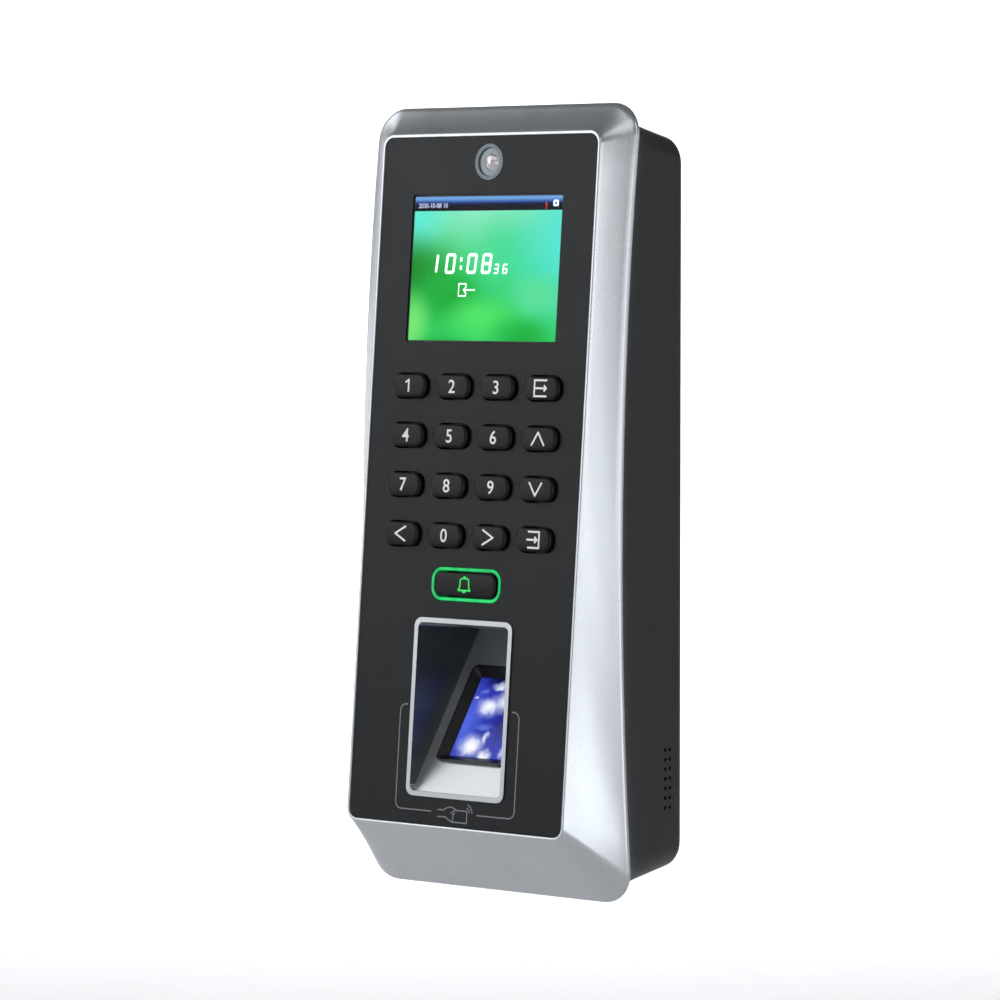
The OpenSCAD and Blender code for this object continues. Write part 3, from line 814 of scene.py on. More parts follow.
def surface_grain() -> bpy.types.NodeTree:
    """Group: fine grain with slow unevenness, for paint, moulded plastic and metal.

    Returns:
        The group, with Colour, Roughness and Height outputs.
    """
    known = bpy.data.node_groups.get("surface_grain")
    if known:
        return known
    tree, start, end = new_group(
        "surface_grain",
        {"Colour": "Color", "Mottle": "Float", "Scale": "Float", "Smoothest": "Float",
         "Roughest": "Float", "Stretch": "Vector"},
        {"Colour": "Color", "Roughness": "Float", "Height": "Float"},
    )
    coordinates = tree.add("TexCoord").outputs["Object"]
    stretched = tree.add(
        "VectorMath", {0: coordinates, 1: start.outputs["Stretch"]}, operation="MULTIPLY"
    ).outputs[0]
    fine = tree.add(
        "TexNoise", {"Vector": stretched, "Scale": start.outputs["Scale"], "Detail": 3.0}
    )
    slow = tree.add("TexNoise", {"Vector": coordinates, "Scale": 38.0, "Detail": 2.0})
    uneven = tree.smoothstep(slow.outputs[0], 0.3, 0.7, -1.0, 1.0)
    speck = tree.smoothstep(fine.outputs[0], 0.3, 0.7, -1.0, 1.0)
    both = tree.math("ADD", tree.math("MULTIPLY", uneven, 0.5), tree.math("MULTIPLY", speck, 0.5))
    factor = tree.math("MULTIPLY_ADD", both, start.outputs["Mottle"], 1.0)
    tinted = tree.add(
        "VectorMath", {0: start.outputs["Colour"], "Scale": factor}, operation="SCALE"
    )
    share = tree.math("MULTIPLY_ADD", both, 0.5, 0.5)
    spread_of = tree.math("SUBTRACT", start.outputs["Roughest"], start.outputs["Smoothest"])
    rough = tree.math("MULTIPLY_ADD", share, spread_of, start.outputs["Smoothest"])
    links = tree.tree.links
    links.new(tinted.outputs[0], end.inputs["Colour"])
    links.new(rough, end.inputs["Roughness"])
    links.new(fine.outputs[0], end.inputs["Height"])
    return tree.tree


def soft_spot() -> bpy.types.NodeTree:
    """Group: a soft oval spot of one colour over another.

    Returns:
        The group, with a Colour output.
    """
    known = bpy.data.node_groups.get("soft_spot")
    if known:
        return known
    tree, start, end = new_group(
        "soft_spot",
        {"Vector": "Vector", "Centre": "Vector", "Size": "Vector", "Tint": "Color",
         "Under": "Color", "Strength": "Float"},
        {"Colour": "Color"},
    )
    out = start.outputs
    offset = tree.add("VectorMath", {0: out["Vector"], 1: out["Centre"]}, operation="SUBTRACT")
    share = tree.add("VectorMath", {0: offset.outputs[0], 1: out["Size"]}, operation="DIVIDE")
    far = tree.add("VectorMath", {0: share.outputs[0]}, operation="LENGTH").outputs["Value"]
    mask = tree.smoothstep(far, 1.0, 0.0)
    strength = tree.math("MULTIPLY", mask, out["Strength"])
    tree.tree.links.new(tree.blend(strength, out["Under"], out["Tint"]), end.inputs["Colour"])
    return tree.tree


@dataclass(frozen=True)
class Spot:
    """One soft oval of colour in a lit picture."""

    centre: tuple[float, float]
    size: tuple[float, float]
    tint: Colour
    strength: float = 1.0


def spotted(
    tree: Tree, vector: bpy.types.NodeSocket, ground: Colour, spots: Sequence[Spot]
) -> bpy.types.NodeSocket:
    """Lays soft spots over a ground colour.

    Args:
        tree: The material's tree.
        vector: Coordinates in which the spots are placed.
        ground: The colour under them.
        spots: The spots, from the bottom one up.

    Returns:
        The colour's socket.
    """
    colour: object = ground
    for spot in spots:
        group = tree.tree.nodes.new("ShaderNodeGroup")
        group.node_tree = soft_spot()
        tree.tree.links.new(vector, group.inputs["Vector"])
        group.inputs["Centre"].default_value = (*spot.centre, 0.0)
        group.inputs["Size"].default_value = (*spot.size, 1e3)
        group.inputs["Tint"].default_value = spot.tint
        group.inputs["Strength"].default_value = spot.strength
        if isinstance(colour, bpy.types.NodeSocket):
            tree.tree.links.new(colour, group.inputs["Under"])
        else:
            group.inputs["Under"].default_value = colour
        colour = group.outputs["Colour"]
    return colour


def blank_material(name: str) -> tuple[bpy.types.Material, Tree, bpy.types.Node]:
    """Makes a material that holds only its output and Principled shader.

    Args:
        name: The material's name.

    Returns:
        The material, its tree and the shader.
    """
    material = bpy.data.materials.new(MATERIAL_PREFIX + name)
    material.use_nodes = True
    tree = Tree(material.node_tree)
    shader = material.node_tree.nodes["Principled BSDF"]
    return material, tree, shader


def drifted(
    tree: Tree, vector: bpy.types.NodeSocket, scale: float, detail: float, reach: float
) -> bpy.types.NodeSocket:
    """Pushes coordinates about by slow noise, so that spots lose their even outline.

    Args:
        tree: The material's tree.
        vector: The coordinates.
        scale: Scale of the noise.
        detail: Detail of the noise.
        reach: How far the noise pushes.

    Returns:
        The pushed coordinates.
    """
    noise = tree.add("TexNoise", {"Vector": vector, "Scale": scale, "Detail": detail})
    centred = tree.add("VectorMath", {0: noise.outputs[1], 1: (0.5,) * 3}, operation="SUBTRACT")
    pushed = tree.add("VectorMath", {0: centred.outputs[0], "Scale": reach}, operation="SCALE")
    return tree.add("VectorMath", {0: vector, 1: pushed.outputs[0]}, operation="ADD").outputs[0]


# Finishes


class Surface:
    """A named finish, whose material is made once and then shared."""

    name: str

    def material(self) -> bpy.types.Material:
        """The finish as a material."""
        return bpy.data.materials.get(MATERIAL_PREFIX + self.name) or self.make()

    def make(self) -> bpy.types.Material:
        """Makes the material, in the way of each kind of finish."""
        raise NotImplementedError


@dataclass(frozen=True)
class Finish(Surface):
    """A painted, moulded or metal surface with a fine grain.

    Grain is the number of noise cells in a metre, bump the depth of the grain, and stretch the
    grain's scale along each axis.
    """

    name: str
    colour: Colour
    metallic: float = 0.0
    smoothest: float = 0.4
    roughest: float = 0.5
    grain: float = 2500.0
    bump: float = 0.02
    mottle: float = 0.05
    specular: float = 0.5
    coat: float = 0.0
    coat_roughness: float = 0.1
    anisotropy: float = 0.0
    stretch: tuple[float, float, float] = (1.0, 1.0, 1.0)

    def make(self) -> bpy.types.Material:
        """Makes the material.

        Returns:
            The finish's material.
        """
        material, tree, shader = blank_material(self.name)
        grain = tree.tree.nodes.new("ShaderNodeGroup")
        grain.node_tree = surface_grain()
        values = {
            "Colour": self.colour, "Mottle": self.mottle, "Scale": self.grain,
            "Smoothest": self.smoothest, "Roughest": self.roughest, "Stretch": self.stretch,
        }
        for socket, value in values.items():
            grain.inputs[socket].default_value = value
        bump = tree.add(
            "Bump", {"Height": grain.outputs["Height"], "Strength": 1.0, "Distance": self.bump * MM}
        )
        links = tree.tree.links
        links.new(grain.outputs["Colour"], shader.inputs["Base Color"])
        links.new(grain.outputs["Roughness"], shader.inputs["Roughness"])
        links.new(bump.outputs[0], shader.inputs["Normal"])
        shader.inputs["Metallic"].default_value = self.metallic
        shader.inputs["Specular IOR Level"].default_value = self.specular
        shader.inputs["Coat Weight"].default_value = self.coat
        shader.inputs["Coat Roughness"].default_value = self.coat_roughness
        shader.inputs["Anisotropic"].default_value = self.anisotropy
        return material


@dataclass(frozen=True)
class Glow(Surface):
    """A lit surface whose colour varies a little."""

    name: str
    bright: Colour
    dim: Colour
    strength: float = 1.0
    scale: float = 120.0

    def make(self) -> bpy.types.Material:
        """Makes the material.

        Returns:
            The glow's material.
        """
        material, tree, shader = blank_material(self.name)
        coordinates = tree.add("TexCoord").outputs["Object"]
        noise = tree.add("TexNoise", {"Vector": coordinates, "Scale": self.scale, "Detail": 1.0})
        share = tree.smoothstep(noise.outputs[0], 0.35, 0.65)
        colour = tree.blend(share, self.dim, self.bright)
        tree.tree.links.new(colour, shader.inputs["Emission Color"])
        shader.inputs["Base Color"].default_value = self.dim
        shader.inputs["Emission Strength"].default_value = self.strength
        shader.inputs["Roughness"].default_value = 0.5
        shader.inputs["Specular IOR Level"].default_value = 0.2
        return material


@dataclass(frozen=True)
class ClearWindow(Surface):
    """Thin clear plastic: only its faint gloss shows."""

    name: str
    tint: Colour
    cover: float
    roughness: float = 0.12

    def make(self) -> bpy.types.Material:
        """Makes the material.

        Returns:
            The window's material.
        """
        material, tree, shader = blank_material(self.name)
        coordinates = tree.add("TexCoord").outputs["Object"]
        noise = tree.add("TexNoise", {"Vector": coordinates, "Scale": 60.0})
        rough = tree.smoothstep(noise.outputs[0], 0.3, 0.7, self.roughness, self.roughness * 1.5)
        cover = tree.smoothstep(noise.outputs[0], 0.3, 0.7, self.cover, self.cover * 1.2)
        tree.tree.links.new(rough, shader.inputs["Roughness"])
        tree.tree.links.new(cover, shader.inputs["Alpha"])
        shader.inputs["Base Color"].default_value = self.tint
        return material


@dataclass(frozen=True)
class CircuitBoard(Surface):
    """Solder mask over copper tracks."""

    name: str
    mask: Colour
    track: Colour

    def make(self) -> bpy.types.Material:
        """Makes the material.

        Returns:
            The board's material.
        """
        material, tree, shader = blank_material(self.name)
        coordinates = tree.add("TexCoord").outputs["Object"]
        cells = tree.add(
            "TexVoronoi", {"Vector": coordinates, "Scale": 420.0, "Randomness": 0.35},
            distance="CHEBYCHEV", feature="F1",
        )
        line = tree.math("PINGPONG", cells.outputs["Distance"], 0.12)
        share = tree.smoothstep(line, 0.05, 0.07)
        colour = tree.blend(share, self.mask, self.track)
        bump = tree.add("Bump", {"Height": share, "Strength": 1.0, "Distance": 0.03 * MM})
        tree.tree.links.new(colour, shader.inputs["Base Color"])
        tree.tree.links.new(bump.outputs[0], shader.inputs["Normal"])
        tree.tree.links.new(tree.math("MULTIPLY_ADD", share, 0.1, 0.3), shader.inputs["Roughness"])
        return material


@dataclass(frozen=True)
class Picture(Surface):
    """The display's lit background: soft greens that drift into aqua and mint."""

    name: str
    place_in: LocalFrame
    half_height: float
    ground: Colour = shade(40, 216, 100)
    spots: tuple[Spot, ...] = (
        Spot((0.1, 1.0), (3.4, 1.15), shade(150, 250, 212)),
        Spot((-1.3, 0.75), (0.95, 0.7), shade(96, 248, 224)),
        Spot((0.45, 0.2), (1.2, 0.9), shade(70, 230, 158)),
        Spot((1.45, 0.35), (1.25, 1.5), shade(86, 240, 222)),
        Spot((-1.35, 0.0), (1.25, 0.75), shade(6, 146, 34)),
        Spot((-0.6, -0.4), (1.0, 0.6), shade(8, 176, 48)),
        Spot((-1.3, -0.75), (0.45, 0.6), shade(120, 242, 118)),
        Spot((0.0, -0.68), (0.95, 0.4), shade(78, 238, 104)),
        Spot((1.0, -0.38), (0.75, 0.4), shade(92, 234, 160)),
        Spot((0.75, -0.95), (0.8, 0.42), shade(2, 182, 58)),
        Spot((-0.75, -1.02), (0.65, 0.22), shade(22, 186, 62)),
    )

    def make(self) -> bpy.types.Material:
        """Makes the material.

        Returns:
            The picture's material, in half heights of the lit area from its middle.
        """
        material, tree, shader = blank_material(self.name)
        vector = tree.local(self.place_in, self.half_height)
        moved = drifted(tree, vector, 0.9, 1.0, 0.35)
        lit(tree, shader, spotted(tree, moved, self.ground, self.spots))
        return material


def lit(
    tree: Tree, shader: bpy.types.Node, colour: bpy.types.NodeSocket, roughness: float = 0.6
) -> None:
    """Turns a colour into the light of a display.

    Args:
        tree: The material's tree.
        shader: Its Principled shader.
        colour: The socket that carries the picture.
        roughness: Roughness of the surface over the light.
    """
    tree.tree.links.new(colour, shader.inputs["Emission Color"])
    shader.inputs["Base Color"].default_value = shade(6, 7, 8)
    shader.inputs["Emission Strength"].default_value = 1.0
    shader.inputs["Roughness"].default_value = roughness
    shader.inputs["Specular IOR Level"].default_value = 0.1


@dataclass(frozen=True)
class StatusBar(Surface):
    """The display's top bar: light blue that falls through navy to black."""

    name: str
    place_in: LocalFrame
    height: float

    def make(self) -> bpy.types.Material:
        """Makes the material.

        Returns:
            The bar's material, in coordinates from 0 at its foot to 1 at its top.
        """
        material, tree, shader = blank_material(self.name)
        vector = tree.local(self.place_in, self.height)
        y = tree.add("SeparateXYZ", {0: vector}).outputs[1]
        ramp = tree.add("ValToRGB", {0: y})
        stops = (
            (0.0, shade(2, 8, 34)), (0.12, shade(0, 0, 12)), (0.42, shade(4, 8, 34)),
            (0.5, shade(14, 30, 92)), (0.62, shade(44, 84, 168)), (0.86, shade(118, 176, 236)),
            (1.0, shade(104, 160, 224)),
        )
        for i, (position, colour) in enumerate(stops):
            stop = ramp.color_ramp.elements[i] if i < 2 else ramp.color_ramp.elements.new(position)
            stop.position = position
            stop.color = colour
        lit(tree, shader, ramp.outputs[0])
        return material


@dataclass(frozen=True)
class SensorGlow(Surface):
    """Blue light under the sensor's glass, with the hot spots of its lamps."""

    name: str
    place_in: LocalFrame
    ground: Colour = shade(46, 58, 172)
    spots: tuple[Spot, ...] = (
        Spot((-8.0, -2.0), (7.0, 14.0), shade(82, 104, 226)),
        Spot((4.5, -1.5), (4.5, 7.5), shade(30, 32, 116)),
        Spot((0.0, 11.5), (12.0, 3.6), shade(8, 8, 34)),
        Spot((-1.0, 9.2), (3.2, 1.6), shade(226, 232, 255)),
        Spot((-5.4, 7.6), (2.2, 1.2), shade(120, 140, 238), 0.7),
        Spot((-7.2, 5.6), (1.3, 0.9), shade(205, 215, 255)),
        Spot((-2.4, 3.1), (5.2, 3.9), shade(190, 200, 255)),
        Spot((-2.3, 3.1), (3.5, 2.6), shade(255, 255, 255)),
        Spot((2.2, 5.1), (3.6, 4.2), shade(235, 240, 255)),
        Spot((-1.2, -2.6), (4.0, 1.3), shade(112, 132, 232), 0.7),
        Spot((0.3, -5.4), (1.3, 2.4), shade(238, 242, 255)),
        Spot((-3.1, -8.3), (5.4, 4.6), shade(196, 208, 255)),
        Spot((-3.0, -8.6), (3.8, 3.2), shade(255, 255, 255)),
        Spot((2.2, -10.8), (3.0, 2.3), shade(244, 246, 255)),
        Spot((7.8, -9.6), (1.7, 1.9), shade(205, 215, 255)),
    )

    def make(self) -> bpy.types.Material:
        """Makes the material.

        Returns:
            The lit glass's material, in millimetres from the middle of the glass.
        """
        material, tree, shader = blank_material(self.name)
        moved = drifted(tree, tree.local(self.place_in, MM), 0.35, 3.0, 3.2)
        lit(tree, shader, spotted(tree, moved, self.ground, self.spots), 0.08)
        return material


SILVER_PAINT = Finish(
    "silver_paint", shade(200, 205, 210), metallic=0.9, smoothest=0.25, roughest=0.33,
    grain=5200, bump=0.0004, mottle=0.05,
)
WELL_SILVER = Finish(
    "well_silver", shade(192, 196, 200), metallic=0.75, smoothest=0.30, roughest=0.4,
    grain=5200, bump=0.004, mottle=0.05,
)
# Painted shade: a darker copy of the well's silver for its two side walls. It stands in for the
# shade that falls on them.
WELL_SIDE_SHADE = Finish(
    "well_side_painted_shade", shade(84, 88, 92), metallic=0.7, smoothest=0.34, roughest=0.44,
    grain=5200, bump=0.004, mottle=0.05,
)
MATT_PANEL = Finish(
    "matt_panel", shade(22, 25, 28), smoothest=0.36, roughest=0.46, grain=3600, bump=0.006,
    mottle=0.2, specular=0.25,
)
CASING_BLACK = Finish(
    "casing_black", shade(18, 19, 21), smoothest=0.34, roughest=0.46, grain=2600, bump=0.012,
    mottle=0.16, specular=0.4,
)
KEY_CAP = Finish(
    "key_cap", shade(10, 11, 13), smoothest=0.26, roughest=0.34, grain=4200, bump=0.003, mottle=0.1,
    specular=0.2,
)
LEGEND_WHITE = Finish(
    "legend_white", shade(250, 252, 253), smoothest=0.45, roughest=0.6, grain=6000, bump=0.003,
    mottle=0.03,
)
MARK_GREY = Finish(
    "mark_grey", shade(128, 132, 135), smoothest=0.5, roughest=0.6, grain=6000, bump=0.003,
    mottle=0.05,
)
BLACK_PLASTIC = Finish(
    "black_plastic", shade(20, 20, 21), smoothest=0.35, roughest=0.5, grain=3000, bump=0.01,
    mottle=0.12,
)
CAMERA_TRIM = Finish(
    "camera_trim", shade(112, 121, 127), metallic=0.3, smoothest=0.35, roughest=0.45, grain=4000,
    bump=0.003, mottle=0.05,
)
CAMERA_DARK = Finish(
    "camera_window", shade(112, 122, 130), metallic=0.3, smoothest=0.26, roughest=0.34, grain=2500,
    bump=0.001, mottle=0.05, coat=0.4,
)
# Painted highlight: the lens dome is given the whitish pink of the glint on it instead of a dark
# glass colour. The lens itself is real.
LENS_GLINT = Finish(
    "lens_glass", shade(214, 206, 212), metallic=0.6, smoothest=0.2, roughest=0.28, grain=1500,
    bump=0.001, mottle=0.15, coat=0.6, coat_roughness=0.06,
)
SILICONE = Finish(
    "silicone", shade(58, 58, 60), smoothest=0.55, roughest=0.7, grain=2200, bump=0.01, mottle=0.08
)
RIBBON_FILM = Finish(
    "ribbon_film", shade(214, 148, 66), smoothest=0.25, roughest=0.35, grain=900, bump=0.01,
    mottle=0.15, coat=0.4, stretch=(8.0, 1.0, 1.0),
)
STEEL = Finish(
    "plated_steel", shade(186, 188, 190), metallic=1.0, smoothest=0.24, roughest=0.42, grain=700,
    bump=0.008, mottle=0.12, anisotropy=0.3, stretch=(1.0, 6.0, 14.0),
)
SCREW_STEEL = Finish(
    "screw_steel", shade(176, 178, 182), metallic=1.0, smoothest=0.2, roughest=0.34, grain=3000,
    bump=0.004, mottle=0.1,
)
GOLD = Finish(
    "contact_gold", shade(232, 190, 98), metallic=1.0, smoothest=0.18, roughest=0.28, grain=3000,
    bump=0.002, mottle=0.08,
)
CHIP_BLACK = Finish(
    "chip_black", shade(30, 30, 32), smoothest=0.5, roughest=0.65, grain=3600, bump=0.01,
    mottle=0.15,
)
RELAY_BLUE = Finish(
    "relay_blue", shade(34, 70, 148), smoothest=0.3, roughest=0.4, grain=2500, bump=0.005,
    mottle=0.06,
)
ALUMINIUM = Finish(
    "capacitor_can", shade(176, 178, 184), metallic=1.0, smoothest=0.25, roughest=0.4, grain=2500,
    bump=0.004, mottle=0.08,
)
TERMINAL_GREEN = Finish(
    "terminal_green", shade(36, 142, 74), smoothest=0.35, roughest=0.5, grain=2600, bump=0.008,
    mottle=0.08,
)
WHITE_PLASTIC = Finish(
    "plunger_white", shade(226, 225, 220), smoothest=0.35, roughest=0.5, grain=2600, bump=0.006,
    mottle=0.04,
)
LEAD_RED = Finish(
    "lead_wire", shade(176, 30, 30), smoothest=0.35, roughest=0.5, grain=2000, bump=0.006,
    mottle=0.1,
)
SEAL_RUBBER = Finish(
    "seal_rubber", shade(34, 34, 34), smoothest=0.6, roughest=0.8, grain=2400, bump=0.02,
    mottle=0.15,
)
STAGE_PALE = Finish(
    "stage_pale", shade(236, 237, 239), smoothest=0.7, roughest=0.85, grain=30, bump=0.0,
    mottle=0.01, specular=0.1,
)
LIGHT_CHIP = Glow("light_chip", shade(190, 205, 255), shade(120, 140, 240), 0.8)
LIGHT_GUIDE = Glow("light_guide", shade(44, 208, 110), shade(26, 160, 84), 0.8, 220.0)
GUIDE_SIDE = Glow("light_guide_side", shade(16, 112, 58), shade(10, 78, 40), 0.6, 220.0)
PRINT_GREEN = Glow("bell_green", shade(54, 212, 96), shade(40, 190, 80), 0.8, 300.0)
SCREEN_WHITE = Glow("screen_white", shade(246, 255, 250), shade(232, 250, 240), 1.0, 500.0)
SCREEN_TEXT = Glow("screen_text", shade(196, 202, 226), shade(170, 178, 210), 1.0, 500.0)
SCREEN_RED = Glow("screen_red", shade(226, 64, 52), shade(200, 40, 40), 1.0, 500.0)
SCREEN_BLUE = Glow("screen_blue", shade(70, 120, 220), shade(50, 96, 200), 1.0, 500.0)
CLEAR = ClearWindow("window_clear", shade(20, 24, 26), 0.05)
BOARD_GREEN = CircuitBoard("circuit_board", shade(18, 84, 44), shade(34, 118, 62))
BOARD_BLUE = CircuitBoard("antenna_board", shade(22, 58, 110), shade(150, 112, 70))


def finished(
    obj: bpy.types.Object, finish: Surface, body: str = ROOT_BODY
) -> bpy.types.Object:
    """Gives a piece its material and the body it moves with.

    Args:
        obj: The piece.
        finish: Its finish.
        body: The body that the piece rides on.

    Returns:
        The piece.
    """
    material = finish.material()
    obj.data.materials.clear()
    obj.data.materials.append(material)
    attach(obj, body)
    LOG.info("%s: %d faces, %s, on %s", obj.name, len(obj.data.polygons), material.name, body)
    return obj


def second_finish(
    obj: bpy.types.Object, finish: Surface, test: Callable[[bmesh.types.BMFace], bool]
) -> None:
    """Gives some faces of a finished piece another finish.

    Args:
        obj: The piece.
        finish: The other finish.
        test: Says which faces get it.
    """
    obj.data.materials.append(finish.material())
    with editing(obj, Domain.FACES):
        pick(obj, Domain.FACES, test)
        obj.active_material_index = len(obj.data.materials) - 1
        bpy.ops.object.material_slot_assign()


# Sub-assemblies


@dataclass
class Bezel:
    """Silver bezel: bright rim round the panel, crowned skirt and bowed rear edge."""

    panel: LocalFrame
    edge: EdgeCurve
    panel_radius: float = 2.5 * MM
    corner_radius: float = 8.5 * MM
    panel_gap: float = 0.1 * MM
    rim_width: float = 0.9 * MM
    rim_height: float = 0.25 * MM
    crown: float = 0.32 * MM
    crown_steps: int = 8
    band: float = 1.0 * MM
    wall: float = 3.0 * MM
    ledge_width: float = 2.0 * MM
    ledge_depth: tuple[float, float] = (-2.5 * MM, -4.3 * MM)
    outline: Outline = field(init=False)
    panel_outline: Outline = field(init=False)

    def __post_init__(self) -> None:
        """Reads the bezel's and the panel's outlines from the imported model."""
        low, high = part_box("front_bezel")
        self.outline = Outline(high.x, high.z, low.z, self.corner_radius)
        low, high = self.panel.box("front_panel")
        self.panel_outline = Outline(high.x, high.y, low.y, self.panel_radius)

    def on_panel(self, grow: float, height: float) -> list[Vector]:
        """Loop round the panel, grown outwards, at a height over its face."""
        points = self.panel_outline.grown(grow).points()
        return [self.panel.matrix @ (p + Vector((0, 0, height))) for p in points]

    def on_edge(self, inset: float, forward: float) -> list[Vector]:
        """Loop along the rear edge, moved inwards and forwards."""
        points = self.outline.grown(-inset).points()
        return [Vector((p.x, self.edge.depth(p.y) - forward, p.y)) for p in points]

    def skirt(self, start: list[Vector], end: list[Vector]) -> list[list[Vector]]:
        """Loops between the rim and the edge, bulged a little outwards.

        Args:
            start: The loop at the rim.
            end: The loop at the rear edge.

        Returns:
            The loops between them.
        """
        count, loops = len(start), []
        for step in range(1, self.crown_steps):
            share = step / self.crown_steps
            loop = []
            for i in range(count):
                along = end[i] - start[i]
                across = end[(i + 1) % count] - end[i - 1]
                outward = across.cross(along).normalized()
                bulge = self.crown * 4 * share * (1 - share)
                loop.append(start[i].lerp(end[i], share) + outward * bulge)
            loops.append(loop)
        return loops

    def build(self) -> bpy.types.Object:
        """Lofts the bezel as one closed ring.

        Returns:
            The bezel.
        """
        gap, rim, top = self.panel_gap, self.rim_width, self.rim_height
        rim_foot = self.on_panel(rim + 0.08 * MM, -0.05 * MM)
        skirt_foot = self.on_edge(0.32 * MM, self.band + 0.42 * MM)
        front, back = self.ledge_depth
        loops = [
            self.on_panel(gap, front + 0.1 * MM),
            self.on_panel(gap, top - 0.14 * MM),
            self.on_panel(gap + 0.04 * MM, top - 0.04 * MM),
            self.on_panel(gap + 0.14 * MM, top),
            self.on_panel(rim - 0.16 * MM, top),
            self.on_panel(rim - 0.03 * MM, top - 0.06 * MM),
            rim_foot,
            *self.skirt(rim_foot, skirt_foot),
            skirt_foot,
            self.on_edge(0.12 * MM, self.band + 0.12 * MM),
            self.on_edge(0.02 * MM, self.band - 0.14 * MM),
            self.on_edge(0.0, self.band - 0.4 * MM),
            self.on_edge(0.0, 0.15 * MM),
            self.on_edge(0.04 * MM, 0.04 * MM),
            self.on_edge(0.15 * MM, 0.0),
            self.on_edge(self.wall, 0.0),
            self.on_panel(1.2 * MM, back),
            self.on_panel(-self.ledge_width, back),
            self.on_panel(-self.ledge_width, front),
            self.on_panel(gap, front),
        ]
        return smooth(loft("bezel", loops, closed=True), 40)

    def dress(self) -> None:
        """Builds the bezel and gives it its silver paint."""
        obj = self.build()
        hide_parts("front_bezel")
        finished(obj, SILVER_PAINT)


